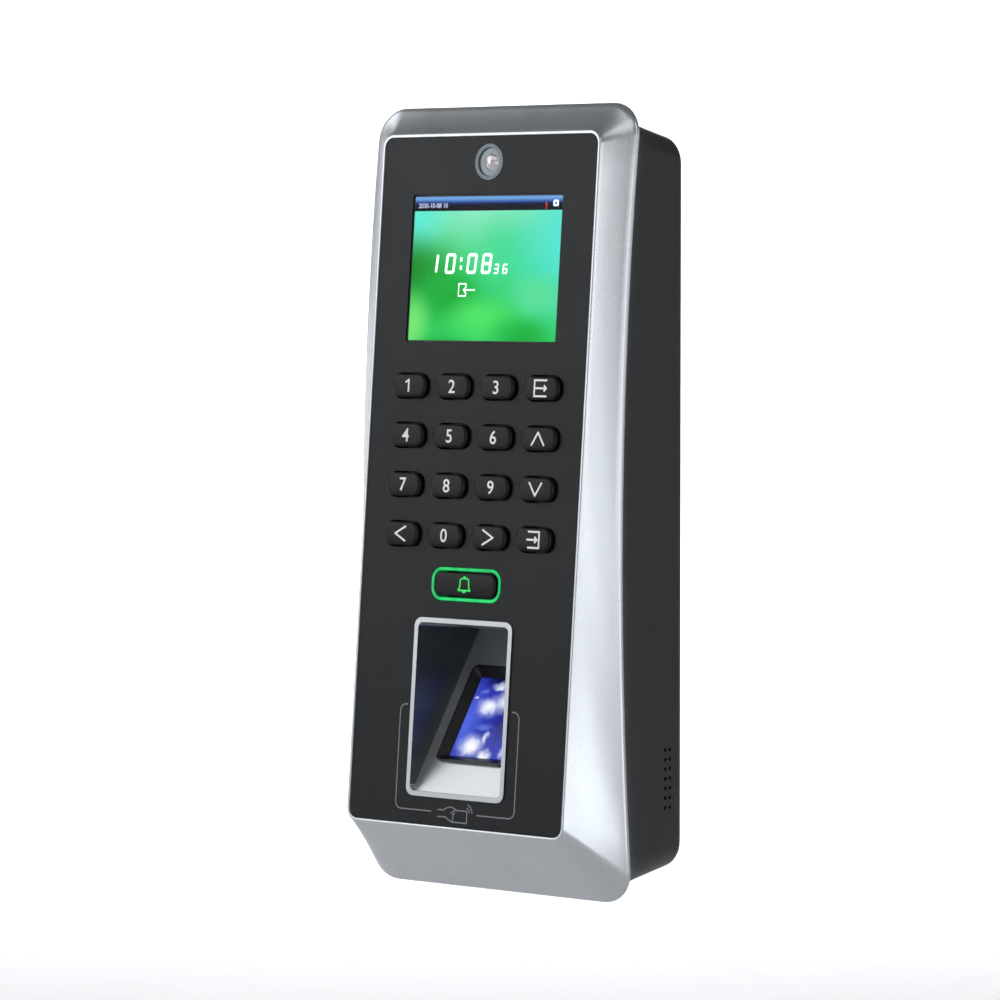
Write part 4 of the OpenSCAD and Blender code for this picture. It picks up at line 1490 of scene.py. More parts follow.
@dataclass
class RearCasing:
    """Black rear casing: concave neck behind the bezel, steady draft, and its openings."""

    edge: EdgeCurve
    outline: Outline
    lip: float = 0.4 * MM
    rim: float = 3.0 * MM
    wall: float = 2.2 * MM
    back_radius: float = 7.0 * MM
    neck_share: float = 0.38
    neck_sharpness: float = 13.5
    groove: tuple[float, float, float] = (1.4 * MM, 2.3 * MM, 0.7 * MM)
    floor_y: tuple[float, float] = (-4.0 * MM, -1.8 * MM)
    stations: tuple[float, ...] = (
        0.006, 0.018, 0.035, 0.055, 0.08, 0.11, 0.145, 0.19, 0.25, 0.33, 0.45, 0.62, 0.8, 0.94,
        0.985,
    )
    post_radius: float = 3.4 * MM
    bore_radius: float = 2.9 * MM
    head_depth: float = 2.4 * MM
    port_room: float = 0.6 * MM
    port_radius: float = 3 * MM
    tamper_radius: float = 2.1 * MM
    lock_radius: float = 3.1 * MM
    past_wall: float = 1 * MM
    behind_wall: float = 6 * MM
    hook_slots: tuple[tuple[float, float, float, float], ...] = (
        (16, 63.1, 12, 5.2), (-16, 63.1, 12, 5.2), (0, -87, 18, 5.8),
    )
    sound_rows: int = 7
    sound_pitch: tuple[float, float] = (2.2 * MM, 2.45 * MM)
    sound_y: float = -6.36 * MM
    sound_radius: float = 0.55 * MM
    back_outline: Outline = field(init=False)

    def __post_init__(self) -> None:
        """Reads the casing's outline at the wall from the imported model."""
        points = [v.co for v in frame["nodes"]["rear_casing"].data.vertices]
        low, high = spread([p for p in points if p.y > -0.01 * MM])
        self.back_outline = Outline(high.x, high.z, low.z, self.back_radius)

    def shrunk(self, share: float) -> float:
        """Share of the outline's way to the wall's at a share of the depth."""
        neck = 1 - math.exp(-share * self.neck_sharpness)
        return self.neck_share * neck + (1 - self.neck_share) * share

    def ring(
        self, share: float, wall: float, back: float = 0.0, flat: float | None = None
    ) -> list[Vector]:
        """Loop round the casing.

        Args:
            share: Where it is, from 0 at the bezel to 1 at the wall.
            wall: How far it is moved inwards.
            back: How far it is moved towards the wall.
            flat: A Y for all its points, instead of the bowed edge's.

        Returns:
            The loop's points.
        """
        front = self.outline.grown(-self.lip)
        shape = front.blended(self.back_outline, self.shrunk(share)).grown(-wall)
        found = []
        for p in shape.points():
            y = self.edge.depth(p.y) * (1 - share) + back if flat is None else flat
            found.append(Vector((p.x, y, p.y)))
        return found

    def shell(self) -> bpy.types.Object:
        """Lofts the casing with its recessed back, as one closed skin.

        Returns:
            The casing without its openings.
        """
        outer, inner, deep = self.groove
        floor, recess = self.floor_y
        at_floor = 1 - floor / self.edge.middle
        loops = [
            self.ring(at_floor, self.wall, flat=floor),
            self.ring(0.3, self.wall),
            self.ring(0.1, self.wall + 0.1 * MM),
            self.ring(0.0, self.rim),
            self.ring(0.0, inner),
            self.ring(0.0, inner, deep),
            self.ring(0.0, outer, deep),
            self.ring(0.0, outer),
            self.ring(0.0, 0.1 * MM),
            *[self.ring(share, 0.0) for share in self.stations],
            self.ring(0.997, 0.12 * MM),
            self.ring(1.0, 0.4 * MM),
            self.ring(1.0, self.wall, flat=0.0),
            self.ring(1.0, self.wall, flat=recess),
        ]
        return loft("casing", loops, closed=False)

    def posts(self) -> list[bpy.types.Object]:
        """Models the screw posts that stand on the casing's inner back.

        Returns:
            A post for each screw.
        """
        made = []
        for low, high in islands("casing_screws"):
            x, z = (low.x + high.x) / 2, (low.z + high.z) / 2
            start = (x, self.edge.depth(z) + 0.1 * MM, z)
            end = (x, self.floor_y[1] - 0.1 * MM, z)
            made.append(rod("post", start, end, self.post_radius))
        return made

    def cutters(self) -> list[bpy.types.Object]:
        """Models everything that is cut out of the casing's back.

        Returns:
            The cutters, clear of each other.
        """
        made, past, behind = [], self.past_wall, self.behind_wall
        for low, high in islands("casing_screws"):
            x, z = (low.x + high.x) / 2, (low.z + high.z) / 2
            seat = high.y - self.head_depth
            made.append(rod("bore", (x, seat, z), (x, past, z), self.bore_radius, 40))
        low, high = opening("cable_port")
        room = self.port_room
        size = Vector(((high.x - low.x) / 2 + room, (high.z - low.z) / 2 + room))
        port = rounded_block(
            "port", (-size.x, -size.y, -past), (size.x, size.y, behind), self.port_radius
        )
        middle = Vector(((low.x + high.x) / 2, 0, (low.z + high.z) / 2))
        upright_turn = Matrix.Rotation(math.radians(90), 4, "X")
        made.append(place(port, Matrix.Translation(middle) @ upright_turn))
        low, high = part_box("tamper_plunger")
        x, z = (low.x + high.x) / 2, (low.z + high.z) / 2
        made.append(rod("tamper", (x, -behind, z), (x, past, z), self.tamper_radius))
        for x, z, width, height in self.hook_slots:
            w, h = width / 2 * MM, height / 2 * MM
            slot = rounded_block("slot", (-w, -h, -past), (w, h, behind), MM)
            made.append(place(slot, Matrix.Translation((x * MM, 0, z * MM)) @ upright_turn))
        return made

    def side_cutters(self) -> list[bpy.types.Object]:
        """Models the sound holes in the right side and the lock screw's hole in the bottom.

        Returns:
            The cutters, clear of each other.
        """
        made = []
        middle = (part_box("speaker")[0].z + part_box("speaker")[1].z) / 2
        for column in (-0.5, 0.5):
            for row in range(self.sound_rows):
                y = self.sound_y + column * self.sound_pitch[0]
                z = middle + (row - (self.sound_rows - 1) / 2) * self.sound_pitch[1]
                made.append(rod("sound", (30 * MM, y, z), (42 * MM, y, z), self.sound_radius, 16))
        low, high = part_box("lock_screw")
        y = (low.y + high.y) / 2
        start, end = (0, y, low.z - 9 * MM), (0, y, low.z + 2.3 * MM)
        made.append(rod("lock", start, end, self.lock_radius))
        return made

    def build(self) -> bpy.types.Object:
        """Lofts the casing and cuts its openings.

        Returns:
            The casing.
        """
        obj = self.shell()
        carve(obj, self.posts(), "UNION")
        carve(obj, self.cutters())
        carve(obj, self.side_cutters())
        return smooth(obj, 30)

    def dress(self) -> None:
        """Builds the casing and gives it its textured black."""
        obj = self.build()
        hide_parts("rear_casing")
        finished(obj, CASING_BLACK)


@dataclass
class Panel:
    """Matt black front panel, and the card reader's mark printed round the finger well."""

    panel: LocalFrame
    edge: float = 0.12 * MM
    mark_line: float = 0.34 * MM
    mark_thickness: float = 0.04 * MM
    frame_half_width: float = 19.8
    frame_top: float = 0.35
    frame_bottom: float = -26.25
    frame_stub: float = 17.5
    frame_gap: float = 7.7
    corner: float = 1.8

    def card_mark(self) -> list[Path]:
        """Draws the thin frame round the well, and a hand that holds a card to it.

        Returns:
            The lines, in millimetres from the well's middle.
        """
        w, r = self.frame_half_width, self.corner
        side = [
            (self.frame_stub, self.frame_top),
            *arc((w - r, self.frame_top - r), r, 90, 0),
            *arc((w - r, self.frame_bottom + r), r, 0, -90),
            (self.frame_gap, self.frame_bottom),
        ]
        hand_back = [(-5.4, -25.7), (-3.4, -25.6), (-2.3, -24.95), (-0.8, -24.75), (0.6, -25.3)]
        fingers = [(0.6, -25.3), (-0.2, -25.75), (-1.0, -26.2), (-0.3, -26.6), (0.2, -26.2)]
        palm = [(-5.4, -27.4), (-2.7, -27.35), (-1.6, -28.1), (-0.5, -28.5)]
        card = [(0.5, -25.45), (4.3, -25.45), (4.3, -28.5), (-0.5, -28.5)]
        card_foot = [(-0.5, -28.5), (-0.2, -26.75)]
        waves = [arc((3.9, -25.9), radius, 75, 5, 4) for radius in (1.25, 2.1)]
        return [side, mirrored(side), hand_back, fingers, palm, *segments(card), card_foot, *waves]

    def dress(self) -> None:
        """Softens the panel's edges and prints its mark."""
        obj = softened_copy("front_panel", self.edge, name="panel")
        finished(obj, MATT_PANEL)
        middle = self.panel.middle("finger_well")
        mark = strokes("card_mark", scaled(self.card_mark()), self.mark_line, self.mark_thickness)
        place(mark, self.panel.at(middle.x, middle.y).matrix)
        finished(mark, MARK_GREY)


def segments(path: Path) -> list[Path]:
    """Splits a path with sharp corners into straight strokes."""
    return [[a, b] for a, b in zip(path, path[1:])]


class Sign(Enum):
    """Line signs on keys, as strokes in millimetres round the key's middle."""

    EXIT = (
        ((1.9, 2.0), (-2.0, 2.0)), ((-2.0, 2.0), (-2.0, -2.0)), ((-2.0, -2.0), (1.9, -2.0)),
        ((-1.9, 0.0), (1.8, 0.0)), ((1.15, 0.65), (1.85, 0.0)), ((1.15, -0.65), (1.85, 0.0)),
    )
    ENTER = (
        ((-1.4, 2.0), (2.1, 2.0)), ((2.1, 2.0), (2.1, -2.0)), ((2.1, -2.0), (-1.4, -2.0)),
        ((-1.8, 0.0), (1.4, 0.0)), ((0.75, 0.65), (1.45, 0.0)), ((0.75, -0.65), (1.45, 0.0)),
    )
    UP = (((-2.0, -1.6), (0.0, 1.6)), ((0.0, 1.6), (2.0, -1.6)))
    DOWN = (((-2.0, 1.6), (0.0, -1.6)), ((0.0, -1.6), (2.0, 1.6)))
    LEFT = (((1.7, 1.85), (-1.7, 0.0)), ((-1.7, 0.0), (1.7, -1.85)))
    RIGHT = (((-1.7, 1.85), (1.7, 0.0)), ((1.7, 0.0), (-1.7, -1.85)))
    ONE = (((-0.85, 0.85), (0.15, 1.5)), ((0.15, 1.5), (0.15, -1.5)))


@dataclass
class Keypad:
    """Sixteen rounded caps with flanges and stems, their white legends, and the bell key."""

    panel: LocalFrame
    cap_radius: float = 2.8 * MM
    flange_lip: float = 1.0 * MM
    flange_thickness: float = 0.8 * MM
    stem_radius: float = 1.3 * MM
    crown: float = 0.75 * MM
    legend_height: float = 3.4 * MM
    legend_line: float = 0.5 * MM
    print_thickness: float = 0.05 * MM
    bell_radius: float = 2.4 * MM
    bell_crown: float = 0.45 * MM
    bell_line: float = 0.4 * MM
    ring_edge: float = 0.26 * MM

    def cap(self, name: str, node: str, radius: float, crown: float) -> bpy.types.Object:
        """Models a key at the middle of its own node's box.

        Args:
            name: The piece's name.
            node: The key's node, which gives its size.
            radius: Corner radius of the cap.
            crown: Rounding of the cap's top edge.

        Returns:
            The key, with its place not yet applied.
        """
        low, high = self.panel.box(node)
        half = Vector(((high.x - low.x) / 2, (high.y - low.y) / 2))
        flange_top = self.flange_level(node)
        foot = flange_top - self.flange_thickness
        corner = radius + self.flange_lip * 0.6
        obj = rounded_block(
            name, (-half.x, -half.y, foot), (half.x, half.y, flange_top), corner
        )
        with editing(obj, Domain.FACES):
            pick(obj, Domain.FACES, facing_at(flange_top, 1))
            bpy.ops.mesh.inset(thickness=self.flange_lip, depth=0.0)
            bpy.ops.mesh.extrude_region_move(
                TRANSFORM_OT_translate={"value": (0, 0, high.z - flange_top)}
            )
            bpy.ops.mesh.select_mode(type="EDGE")
            pick(obj, Domain.EDGES, sharp_at(high.z))
            bpy.ops.mesh.bevel(offset=crown, segments=6, profile=0.5, affect="EDGES")
        stem = rod("stem", (0, 0, low.z), (0, 0, foot + 0.3 * MM), self.stem_radius, 24)
        carve(obj, [stem], "UNION")
        return smooth(obj, 40)

    def flange_level(self, node: str) -> float:
        """Finds the top of a key's flange, the widest step of its node.

        Args:
            node: The key's node.

        Returns:
            Its height over the panel's face.
        """
        low, high = self.panel.box(node)
        inverse = self.panel.matrix.inverted()
        points = [inverse @ v.co for v in frame["nodes"][node].data.vertices]
        return max(p.z for p in points if high.x - p.x < 0.01 * MM)

    def legend(self, node: str) -> bpy.types.Object:
        """Draws what is printed on a key: its digit or its sign.

        Args:
            node: The key's node.

        Returns:
            The print, round the origin.
        """
        label = node.removeprefix("key_")
        name = node + "_legend"
        if label == "1":
            label = "one"
        if label.isdigit():
            return digits(name, label, self.legend_height, self.print_thickness)
        paths = scaled(Sign[label.upper()].value)
        return strokes(name, paths, self.legend_line, self.print_thickness)

    def bell_sign(self) -> list[Path]:
        """Draws a bell.

        Returns:
            Its lines, in millimetres.
        """
        half = [(0.0, 1.6), (0.95, 1.55), (1.4, 1.2), (1.45, 0.3), (1.5, -0.75), (1.95, -1.4)]
        base = [(2.0, -1.45), (-2.0, -1.45)]
        knob = [(-0.25, 1.95), (0.25, 1.95)]
        clapper = [(-0.4, -1.85), (0.4, -1.85)]
        return [half, mirrored(half), base, knob, clapper]

    def dress(self) -> None:
        """Builds every key and its legend, each on the key's own body."""
        caps: dict[tuple[float, ...], bpy.types.Object] = {}
        for node in sorted(n for n in frame["nodes"] if n.startswith("key_")):
            low, high = self.panel.box(node)
            size = tuple(round(c, 6) for c in high - low)
            if size not in caps:
                caps[size] = self.cap("cap_model", node, self.cap_radius, self.crown)
            obj = bpy.data.objects.new(node + "_cap", caps[size].data.copy())
            bpy.context.scene.collection.objects.link(obj)
            middle = self.panel.middle(node)
            place(named(obj, node + "_cap"), self.panel.at(middle.x, middle.y).matrix)
            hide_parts(node)
            finished(obj, KEY_CAP, node + "_body")
            legend = place(self.legend(node), self.panel.at(middle.x, middle.y, high.z).matrix)
            finished(legend, LEGEND_WHITE, node + "_body")
        for model in caps.values():
            bpy.data.objects.remove(model)
        self.dress_bell()

    def dress_bell(self) -> None:
        """Builds the bell key, its lit sign and the light ring round it."""
        node = "bell_key"
        middle, high = self.panel.middle(node), self.panel.box(node)[1]
        cap = self.cap("bell_key_cap", node, self.bell_radius, self.bell_crown)
        place(cap, self.panel.at(middle.x, middle.y).matrix)
        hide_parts(node)
        finished(cap, KEY_CAP, "bell_key_body")
        sign = strokes("bell_sign", scaled(self.bell_sign()), self.bell_line, self.print_thickness)
        place(sign, self.panel.at(middle.x, middle.y, high.z).matrix)
        finished(sign, PRINT_GREEN, "bell_key_body")
        ring = softened_copy("bell_light_ring", self.ring_edge, 3, "light_ring")
        finished(ring, LIGHT_GUIDE)
        outward = self.panel.matrix.to_3x3() @ Vector((0, 0, 1))
        second_finish(ring, GUIDE_SIDE, lambda face: face.normal.dot(outward) < 0.9)


@dataclass
class Display:
    """Lit colour display with its picture, status bar and clock, under a clear window."""

    panel: LocalFrame
    lit_width: float = 48.96 * MM
    lit_height: float = 36.72 * MM
    bar_height: float = 3.68 * MM
    picture_level: float = -0.42 * MM
    window_level: tuple[float, float] = (-0.32 * MM, -0.1 * MM)
    window_rim: float = 1.7 * MM
    window_radius: float = 0.7 * MM
    cell_radius: float = 1.0 * MM
    cell_edge: float = 0.4 * MM
    sheet_radius: float = 0.2 * MM
    print_thickness: float = 0.02 * MM
    clock_height: float = 5.2 * MM
    clock_line: float = 0.78 * MM
    seconds_line: float = 0.42 * MM
    sign_line: float = 0.36 * MM
    alert_line: float = 0.4 * MM
    colon_x: float = -7.95
    colon_dots: tuple[float, ...] = (2.3, 0.2)
    colon_dot: float = 0.3
    date_digits: str = "2030-10-08 10"
    date_height: float = 1.2 * MM
    date_place: tuple[float, float] = (-18.4 * MM, 1.38 * MM)
    link_place: tuple[float, float] = (22.4 * MM, 1.75 * MM)
    clock_places: tuple[float, ...] = (-17.3, -11.5, -4.3, 0.6)
    clock_digits: str = "1008"
    clock_y: float = 1.25 * MM
    seconds_height: float = 2.55 * MM
    seconds_places: tuple[float, ...] = (3.9, 6.8)
    seconds_digits: str = "36"
    slant: float = 0.1

    SEGMENTS = {"0": "abcdef", "1": "bc", "3": "abcdg", "6": "acdefg", "8": "abcdefg"}

    def digit(self, value: str, x: float, y: float, height: float) -> list[Path]:
        """Strokes of one seven-segment digit.

        Args:
            value: The digit.
            x: Its middle across, in metres.
            y: Its middle up, in metres.
            height: Its height, in metres.

        Returns:
            One short stroke for each lit segment.
        """
        h, w, gap = height / 2 * 0.86, height * 0.24, height * 0.045
        ends = {
            "a": ((-w, h), (w, h)), "b": ((w, h), (w, 0)), "c": ((w, 0), (w, -h)),
            "d": ((-w, -h), (w, -h)), "e": ((-w, 0), (-w, -h)), "f": ((-w, h), (-w, 0)),
            "g": ((-w, 0), (w, 0)),
        }
        made = []
        for name in self.SEGMENTS[value]:
            start, end = (Vector(p) for p in ends[name])
            inward = (end - start).normalized() * gap
            stroke = (start + inward, end - inward)
            made.append([(x + p.x + p.y * self.slant, y + p.y) for p in stroke])
        return made

    def cell(self, centre: LocalFrame) -> None:
        """Builds the display's black cell, with a recess that holds the picture.

        Args:
            centre: Frame at the middle of the lit area, on the panel's face.
        """
        low, high = self.panel.box("display_module")
        middle = self.panel.middle("display_module")
        obj = rounded_block(
            "display_cell", (low.x - middle.x, low.y - middle.y, low.z),
            (high.x - middle.x, high.y - middle.y, high.z), self.cell_radius,
        )
        half_x, half_y = (high.x - low.x) / 2, (high.y - low.y) / 2
        inset = half_x - self.lit_width / 2 - self.cell_edge
        squash = (self.lit_height / 2 + self.cell_edge) / (half_y - inset)
        with editing(obj, Domain.FACES):
            pick(obj, Domain.FACES, facing_at(high.z, 1))
            bpy.ops.mesh.inset(thickness=inset, depth=0.0)
            bpy.ops.transform.resize(
                value=(1.0, squash, 1.0), center_override=(0.0, 0.0, high.z)
            )
            bpy.ops.mesh.extrude_region_move(
                TRANSFORM_OT_translate={"value": (0, 0, self.picture_level - high.z)}
            )
        place(obj, centre.matrix)
        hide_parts("display_module")
        finished(obj, BLACK_PLASTIC)

    def sheet(
        self, name: str, foot: float, top: float, centre: LocalFrame, finish: Surface
    ) -> None:
        """Builds one lit sheet of the screen, across its whole width.

        Args:
            name: The sheet's name.
            foot: Height of its foot over the middle of the lit area.
            top: Height of its top.
            centre: Frame at the middle of the lit area, on the panel's face.
            finish: Its finish.
        """
        half, level = self.lit_width / 2, self.picture_level
        obj = rounded_block(
            name, (-half, foot, level), (half, top, level + self.print_thickness),
            self.sheet_radius, segments=2,
        )
        finished(place(obj, centre.matrix), finish)

    def screen(self, centre: LocalFrame) -> None:
        """Builds the display cell, its picture, its bar and what they show.

        Args:
            centre: Frame at the middle of the lit area, on the panel's face.
        """
        self.cell(centre)
        half = self.lit_height / 2
        foot = half - self.bar_height
        green = Picture("display_green", centre, half)
        self.sheet("display_picture", -half, foot, centre, green)
        blue = StatusBar("display_bar_blue", centre.at(0, foot), self.bar_height)
        self.sheet("display_bar", foot, half, centre, blue)
        self.marks(centre.at(0, 0, self.picture_level + self.print_thickness), foot)

    def marks(self, face: LocalFrame, bar_foot: float) -> None:
        """Draws the clock, its seconds, the figure below it, the date and the two status signs.

        Args:
            face: Frame on the picture's surface, at its middle.
            bar_foot: Height of the status bar's foot.
        """
        clock = []
        for value, x in zip(self.clock_digits, self.clock_places):
            clock += self.digit(value, x * MM, self.clock_y, self.clock_height)
        x, dot = self.colon_x, self.colon_dot
        for y in self.colon_dots:
            clock += scaled([[(x, y - dot), (x, y + dot)]])
        seconds = []
        foot = self.clock_y - (self.clock_height - self.seconds_height) / 2
        for value, x in zip(self.seconds_digits, self.seconds_places):
            seconds += self.digit(value, x * MM, foot, self.seconds_height)
        doorway = [
            (-5.9, -6.2), (-5.9, -7.0), (-8.3, -7.0), (-8.3, -3.9), (-5.9, -3.9), (-5.9, -4.7),
        ]
        arrow = [
            [(-3.0, -5.45), (-6.7, -5.45)], [(-5.9, -4.75), (-6.7, -5.45)],
            [(-5.9, -6.15), (-6.7, -5.45)],
        ]
        door = [*segments(doorway), *arrow]
        sheet = self.print_thickness
        for name, paths, line in (
            ("clock_digits", clock, self.clock_line),
            ("clock_seconds", seconds, self.seconds_line),
            ("door_sign", scaled(door), self.sign_line),
        ):
            obj = strokes(name, paths, line, sheet)
            finished(place(obj, face.matrix), SCREEN_WHITE)
        date_x, date_y = self.date_place
        date = digits("date_digits", self.date_digits, self.date_height, sheet)
        finished(place(date, face.at(date_x, bar_foot + date_y).matrix), SCREEN_TEXT)
        mark = [[(19.3, 1.0), (19.3, 1.75)], [(19.3, 0.45), (19.3, 0.5)]]
        alert = strokes("alert_sign", scaled(mark), self.alert_line, sheet)
        finished(place(alert, face.at(0, bar_foot).matrix), SCREEN_RED)
        self.link_sign(face.at(self.link_place[0], bar_foot + self.link_place[1]))

    def link_sign(self, middle: LocalFrame) -> None:
        """Builds the network sign: a white tile with a blue dot on it.

        Args:
            middle: Frame on the bar's surface, at the sign's middle.
        """
        sheet = self.print_thickness
        for name, half_x, half_y, foot, radius, finish in (
            ("link_tile", 0.85 * MM, 0.8 * MM, 0.0, 0.3 * MM, SCREEN_WHITE),
            ("link_dot", 0.36 * MM, 0.36 * MM, sheet, 0.2 * MM, SCREEN_BLUE),
        ):
            obj = rounded_block(
                name, (-half_x, -half_y, foot), (half_x, half_y, foot + sheet), radius
            )
            finished(place(obj, middle.matrix), finish)

    def dress(self) -> None:
        """Builds the screen and its window."""
        middle = self.panel.middle("display_module")
        centre = self.panel.at(middle.x, middle.y)
        self.screen(centre)
        low, high = self.panel.box("display_window")
        rim = self.window_rim
        half = Vector(((high.x - low.x) / 2 - rim, (high.y - low.y) / 2 - rim))
        back, front = self.window_level
        window = rounded_block(
            "window", (-half.x, -half.y, back), (half.x, half.y, front), self.window_radius
        )
        place(window, centre.matrix)
        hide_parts("display_window")
        finished(smooth(window), CLEAR)


@dataclass
class Camera:
    """Camera over the display: satin ring, dark disc and domed lens."""

    panel: LocalFrame
    ring_edge: float = 0.25 * MM
    lens_radius: float = 2.45 * MM
    lens_rise: float = 1.2 * MM
    lens_shift: float = 0.45 * MM
    lens_sink: float = 0.3 * MM
    disc_edge: float = 0.08 * MM

    @property
    def ball(self) -> float:
        """Radius of the sphere that the lens is cut from."""
        return (self.lens_radius**2 + self.lens_rise**2) / (2 * self.lens_rise)

    def lens(self) -> bpy.types.Object:
        """Models the lens: a sphere cut to a dome and closed at its foot.

        Returns:
            The lens, with the sphere's middle at the origin.
        """
        bpy.ops.object.select_all(action="DESELECT")
        bpy.ops.mesh.primitive_uv_sphere_add(segments=48, ring_count=48, radius=self.ball)
        obj = named(bpy.context.object, "lens_dome")
        with editing(obj, Domain.FACES):
            bpy.ops.mesh.select_all(action="SELECT")
            bpy.ops.mesh.bisect(
                plane_co=(0, 0, self.ball - self.lens_rise), plane_no=(0, 0, 1),
                clear_inner=True, use_fill=True,
            )
        return obj

    def dress(self) -> None:
        """Builds the ring, the disc and the lens."""
        ring = softened_copy("camera_ring", self.ring_edge, 3, "camera_trim_ring")
        finished(ring, CAMERA_TRIM)
        disc = softened_copy("camera_window", self.disc_edge, 2, "camera_disc")
        finished(disc, CAMERA_DARK)
        middle = self.panel.middle("camera_window")
        face = self.panel.box("camera_window")[1].z
        level = face + self.lens_rise - self.ball - self.lens_sink
        # The lens is moved right of the disc's middle so that its painted highlight sits where the
        # glint falls.
        spot = self.panel.at(middle.x + self.lens_shift, middle.y, level)
        lens = place(self.lens(), spot.matrix)
        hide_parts("camera_lens")
        finished(smooth(lens, 60), LENS_GLINT)


@dataclass
class FingerReader:
    """Silver finger well with the fingerprint sensor on its slanted floor."""

    panel: LocalFrame
    floor: LocalFrame
    well_edge: float = 0.42 * MM
    frame_edge: float = 0.15 * MM
    glass_edge: float = 0.2 * MM
    well_rim: float = 0.8 * MM
    rim_depth: float = 1.2 * MM

    def dress(self) -> None:
        """Builds the well with painted shade on its side walls, the sensor's frame and its lit
        glass.
        """
        well = softened_copy("finger_well", self.well_edge, 3, "well")
        finished(well, WELL_SILVER)
        low, high = self.panel.box("finger_well")
        inverse = self.panel.matrix.inverted()
        half_opening = (high.x - low.x) / 2 - self.well_rim

        def side_wall(face: bmesh.types.BMFace) -> bool:
            """Says whether a face is one of the well's two side walls, below its rim."""
            middle = face.calc_center_median()
            deep = (inverse @ middle).z < high.z - self.rim_depth
            return abs(face.normal.x) > 0.9 and deep and abs(middle.x) < half_opening

        # Painted shade: the side walls below the rim get the darker copy of the well's silver.
        second_finish(well, WELL_SIDE_SHADE, side_wall)
        border = softened_copy("sensor_frame", self.frame_edge, 2, "sensor_border")
        finished(border, BLACK_PLASTIC)
        glass = softened_copy("sensor_prism", self.glass_edge, 2, "sensor_glass")
        finished(glass, SensorGlow("sensor_light", self.floor))


@dataclass
class BackConnectors:
    """What shows through the cable opening: clamp screws, contacts and their housings."""

    screw_radius: float = 1.15 * MM
    screw_depth: float = 1.2 * MM
    screw_rise: float = 1.9 * MM
    pitch: float = 3.81 * MM
    contact_count: int = 8
    contact_pitch: float = 1.02 * MM
    contact_width: float = 0.42 * MM
    block_edge: float = 0.12 * MM
    socket_edge: float = 0.15 * MM

    def clamp_screws(self) -> list[bpy.types.Object]:
        """Models the slotted screw heads over the ways of the terminal blocks.

        Returns:
            A head for each way.
        """
        made = []
        for low, high in islands("terminal_blocks"):
            ways = round((high.x - low.x) / self.pitch)
            z = (low.z + high.z) / 2 + self.screw_rise
            for i in range(ways):
                x = (low.x + high.x) / 2 + (i - (ways - 1) / 2) * self.pitch
                face = high.y - self.screw_depth
                made.append(self.slotted(Vector((x, face, z)), 0.35 + 0.7 * i))
        return made

    def slotted(self, face: Vector, turn: float) -> bpy.types.Object:
        """One screw head.

        Args:
            face: Middle of its face, which looks along +Y.
            turn: How far its slot is turned, in radians.

        Returns:
            The head.
        """
        head = rod("head", (0, 0, -1.2 * MM), (0, 0, 0), self.screw_radius, 24)
        slot = box("slot", (-2 * MM, -0.2 * MM, -0.5 * MM), (2 * MM, 0.2 * MM, 1 * MM))
        carve(head, [slot])
        lie_back = Matrix.Rotation(math.radians(-90), 4, "X")
        matrix = Matrix.Translation(face) @ lie_back @ Matrix.Rotation(turn, 4, "Z")
        return place(head, matrix)

    def contacts(self) -> list[bpy.types.Object]:
        """Models the sprung contacts in the network socket.

        Returns:
            The contacts, from left to right.
        """
        low, high = opening("network_socket")
        turn = Matrix(((0, 0, 1, 0), (0, 1, 0, 0), (-1, 0, 0, 0), (0, 0, 0, 1)))
        path = [(0, 0), (0.5 * MM, 2.0 * MM), (2.2 * MM, 6.2 * MM)]
        made = []
        for i in range(self.contact_count):
            x = (low.x + high.x) / 2 + (i - (self.contact_count - 1) / 2) * self.contact_pitch
            wire = strokes("contact", [path], self.contact_width, self.contact_width)
            root = Matrix.Translation((x, low.y + 0.3 * MM, high.z - 0.1 * MM))
            made.append(place(wire, root @ turn))
        return made

    def dress(self) -> None:
        """Builds the connectors and what is in them."""
        blocks = softened_copy("terminal_blocks", self.block_edge)
        finished(blocks, TERMINAL_GREEN)
        socket = softened_copy("network_jack", self.socket_edge)
        finished(socket, STEEL)
        screws = joined("clamp_screws", self.clamp_screws())
        finished(smooth(screws), SCREW_STEEL)
        contacts = joined("socket_contacts", self.contacts())
        finished(contacts, GOLD)


@dataclass
class Hardware:
    """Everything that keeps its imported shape: softened where it shows, and given its finish."""

    softened: tuple[tuple[str, float, Finish, str], ...] = (
        ("wall_plate", 0.2 * MM, STEEL, "plate_steel"),
        ("casing_screws", 0.15 * MM, SCREW_STEEL, "screw_steel"),
        ("lock_screw", 0.15 * MM, SCREW_STEEL, "screw_steel"),
        ("tamper_plunger", 0.2 * MM, WHITE_PLASTIC, "plunger_white"),
    )
    kept: dict[str, Surface] = field(
        default_factory=lambda: {
            "display_bracket": STEEL, "display_ribbon": RIBBON_FILM, "camera_module": BLACK_PLASTIC,
            "keypad_mat": SILICONE, "keypad_board": BOARD_GREEN, "keypad_ribbon": RIBBON_FILM,
            "panel_screws": SCREW_STEEL, "sensor_housing": BLACK_PLASTIC,
            "sensor_board": BOARD_GREEN, "sensor_lights": LIGHT_CHIP, "sensor_ribbon": RIBBON_FILM, "card_antenna": BOARD_BLUE,
            "main_board": BOARD_GREEN, "processor": CHIP_BLACK, "coin_cell": SCREW_STEEL,
            "lock_relay": RELAY_BLUE, "capacitors": ALUMINIUM, "tamper_switch": BLACK_PLASTIC,
            "board_screws": SCREW_STEEL, "speaker": BLACK_PLASTIC, "speaker_leads": LEAD_RED,
            "casing_seal": SEAL_RUBBER,
        }
    )

    def dress(self) -> None:
        """Softens the outside hardware and gives every kept node its material."""
        bodies = frame["record"]["behaviour"]["bodies"]
        for node, edge, finish, slot in self.softened:
            body = next(b for b, members in bodies.items() if node in members)
            finished(softened_copy(node, edge), finish, body)
        for node, finish in self.kept.items():
            obj = frame["nodes"][node]
            obj.data.materials.clear()
            obj.data.materials.append(finish.material())
            LOG.info("%s keeps its packed shape, in %s", node, finish.name)


# Stage


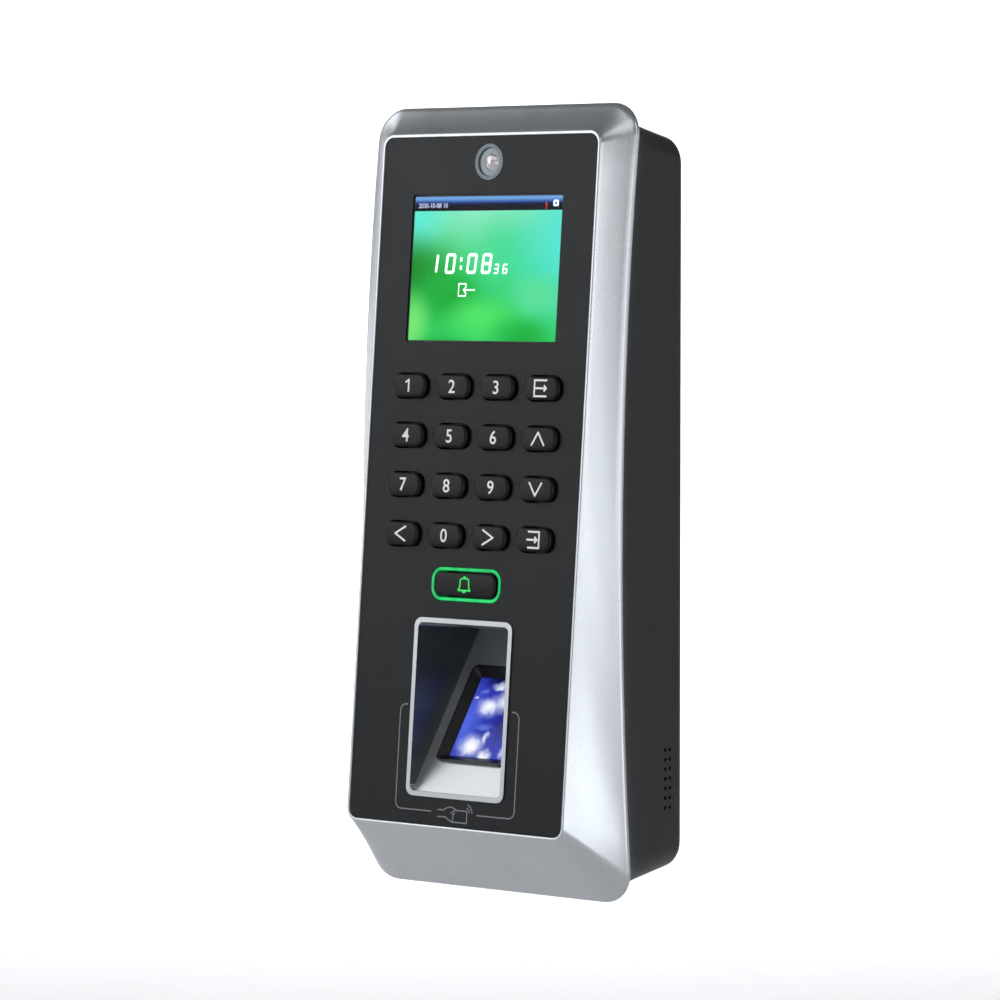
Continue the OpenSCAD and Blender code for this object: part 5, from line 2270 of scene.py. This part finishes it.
def direction(azimuth: float, elevation: float) -> Vector:
    """The way from the terminal at two angles. Azimuth 0 is in front and 90 to the right."""
    a, e = math.radians(azimuth), math.radians(elevation)
    return Vector((math.sin(a) * math.cos(e), -math.cos(a) * math.cos(e), math.sin(e)))


@dataclass(frozen=True)
class Softbox:
    """A large soft lamp aimed at the terminal, placed by its direction."""

    name: str
    azimuth: float
    elevation: float
    distance: float
    size: float
    power: float
    target: tuple[float, float, float] = (0.0, 0.0, 0.0)
    spread: float = 180.0

    def build(self) -> bpy.types.Object:
        """Adds the lamp.

        Returns:
            The lamp.
        """
        way = direction(self.azimuth, self.elevation)
        data = bpy.data.lights.new(self.name, "AREA")
        data.shape = "SQUARE"
        data.size = self.size
        data.energy = self.power
        data.spread = math.radians(self.spread)
        lamp = bpy.data.objects.new(self.name, data)
        bpy.context.scene.collection.objects.link(lamp)
        lamp.location = way * self.distance
        away = lamp.location - Vector(self.target)
        lamp.rotation_euler = away.to_track_quat("Z", "Y").to_euler()
        lamp.visible_camera = False
        return lamp


@dataclass
class Stage:
    """Pale seamless floor, soft lamps and the camera."""

    panel: LocalFrame
    floor_z: float = -0.32
    floor_radius: float = 2.6
    bend_radius: float = 0.9
    bend_steps: int = 12
    wall_height: float = 0.35
    azimuth: float = 40.443
    elevation: float = 2.860
    distance: float = 1.177257
    slide: tuple[float, float] = (7.095 * MM, -4.703 * MM)
    lens: float = 167.74
    sensor: float = 36.0
    ambient: float = 0.142
    lamps: tuple[Softbox, ...] = (
        Softbox("lamp_near_left", -50, 30, 0.6, 0.3, 0.37),
        Softbox("lamp_near_top", -20, 45, 0.6, 0.3, 0.28),
        Softbox("lamp_left_high", -85, 30, 1.25, 0.5, 1.5),
        Softbox("lamp_left_low", -90, -10, 1.0, 0.5, 1.2),
        Softbox("lamp_front_left", -38, 11, 1.25, 0.5, 1.6),
        Softbox("lamp_front_high", 20, 40, 1.25, 0.5, 0.9),
        Softbox("lamp_right_15", 15, 5, 1.25, 0.5, 0.28),
        Softbox("lamp_right_35", 35, 5, 1.25, 0.5, 0.5),
        Softbox("lamp_right_55", 55, 5, 1.25, 0.5, 0.8),
        Softbox("lamp_right_75", 75, 5, 1.25, 0.5, 1.15),
        Softbox("lamp_right_115", 115, 5, 1.25, 0.5, 0.62),
        Softbox("lamp_right_140", 140, 10, 1.25, 0.5, 0.25),
        Softbox("lamp_right_low", 95, -15, 1.25, 0.5, 1.92),
        Softbox("lamp_right_high", 95, 35, 1.25, 0.5, 1.23),
        Softbox("lamp_backdrop", 220, 37, 2.6, 1.2, 27.0, (-1.5, 1.8, -0.3), 120.0),
        Softbox("lamp_backdrop_far", 220, 34, 3.0, 1.0, 16.0, (-2.2, 2.6, 0.35), 120.0),
        Softbox("lamp_floor_front", 45, 37, 2.8, 1.2, 11.0, (1.75, -1.75, -0.3), 120.0),
        Softbox("lamp_floor_left", -55, 37, 2.8, 1.2, 11.0, (-2.0, -1.4, -0.3), 120.0),
        Softbox("lamp_floor_right", 130, 37, 2.8, 1.2, 6.0, (1.9, 1.6, -0.3), 120.0),
    )

    def floor(self) -> bpy.types.Object:
        """Builds the floor, whose edge curves up into a low wall.

        Returns:
            The floor.
        """
        bpy.ops.object.select_all(action="DESELECT")
        bpy.ops.mesh.primitive_circle_add(
            vertices=96, radius=self.floor_radius, fill_type="NGON", location=(0, 0, self.floor_z)
        )
        obj = named(bpy.context.object, "floor")
        steps = self.bend_steps
        with editing(obj, Domain.EDGES):
            pick(obj, Domain.EDGES, lambda edge: edge.is_boundary)
            radius, z = self.floor_radius, 0.0
            for step in range(1, steps + 2):
                angle = math.radians(min(90.0, 90.0 * step / steps))
                lift = self.wall_height if step > steps else 0.0
                new_radius = self.floor_radius + self.bend_radius * math.sin(angle)
                new_z = self.bend_radius * (1 - math.cos(angle)) + lift
                bpy.ops.mesh.extrude_edges_move()
                growth = new_radius / radius
                bpy.ops.transform.resize(value=(growth, growth, 1.0), center_override=(0, 0, 0))
                bpy.ops.transform.translate(value=(0, 0, new_z - z))
                radius, z = new_radius, new_z
        activate(obj)
        bpy.ops.object.transform_apply(location=True, rotation=True, scale=True)
        obj.data.materials.append(STAGE_PALE.material())
        smooth(obj, 60)
        return obj

    def camera(self) -> bpy.types.Object:
        """Adds the camera, aimed beside the middle of the panel.

        Returns:
            The camera.
        """
        a = math.radians(self.azimuth)
        back = direction(self.azimuth, self.elevation)
        right = Vector((math.cos(a), math.sin(a), 0.0))
        up = back.cross(right)
        data = bpy.data.cameras.new("camera")
        data.lens = self.lens
        data.sensor_width = self.sensor
        data.clip_start = 0.05
        data.clip_end = 50.0
        obj = bpy.data.objects.new("camera", data)
        bpy.context.scene.collection.objects.link(obj)
        across, rise = self.slide
        middle = self.panel.matrix.translation
        obj.location = middle + back * self.distance + right * across + up * rise
        obj.rotation_euler = (math.radians(90 - self.elevation), 0.0, a)
        bpy.context.scene.camera = obj
        return obj

    def build(self) -> None:
        """Sets up the whole stage."""
        self.floor()
        for lamp in self.lamps:
            lamp.build()
        world = bpy.data.worlds.new("studio")
        world.use_nodes = True
        background = world.node_tree.nodes["Background"].inputs
        background["Color"].default_value = (1, 1, 1, 1)
        background["Strength"].default_value = self.ambient
        bpy.context.scene.world = world
        bpy.context.scene.view_settings.view_transform = "Standard"
        self.camera()
        LOG.info("stage: floor, %d lamps and camera", len(self.lamps))


def main() -> None:
    """Builds the terminal's pieces, dresses the kept nodes and sets up the stage."""
    logging.basicConfig(level=logging.INFO, format="%(message)s")
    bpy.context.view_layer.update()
    panel = LocalFrame.on("front_panel")
    floor = LocalFrame.on("sensor_prism")
    edge = EdgeCurve.of("front_bezel")
    Stage(panel).build()
    bezel = Bezel(panel, edge)
    bezel.dress()
    RearCasing(edge, bezel.outline).dress()
    Panel(panel).dress()
    Display(panel).dress()
    Camera(panel).dress()
    Keypad(panel).dress()
    FingerReader(panel, floor).dress()
    BackConnectors().dress()
    Hardware().dress()


if __name__ == "__main__":
    main()
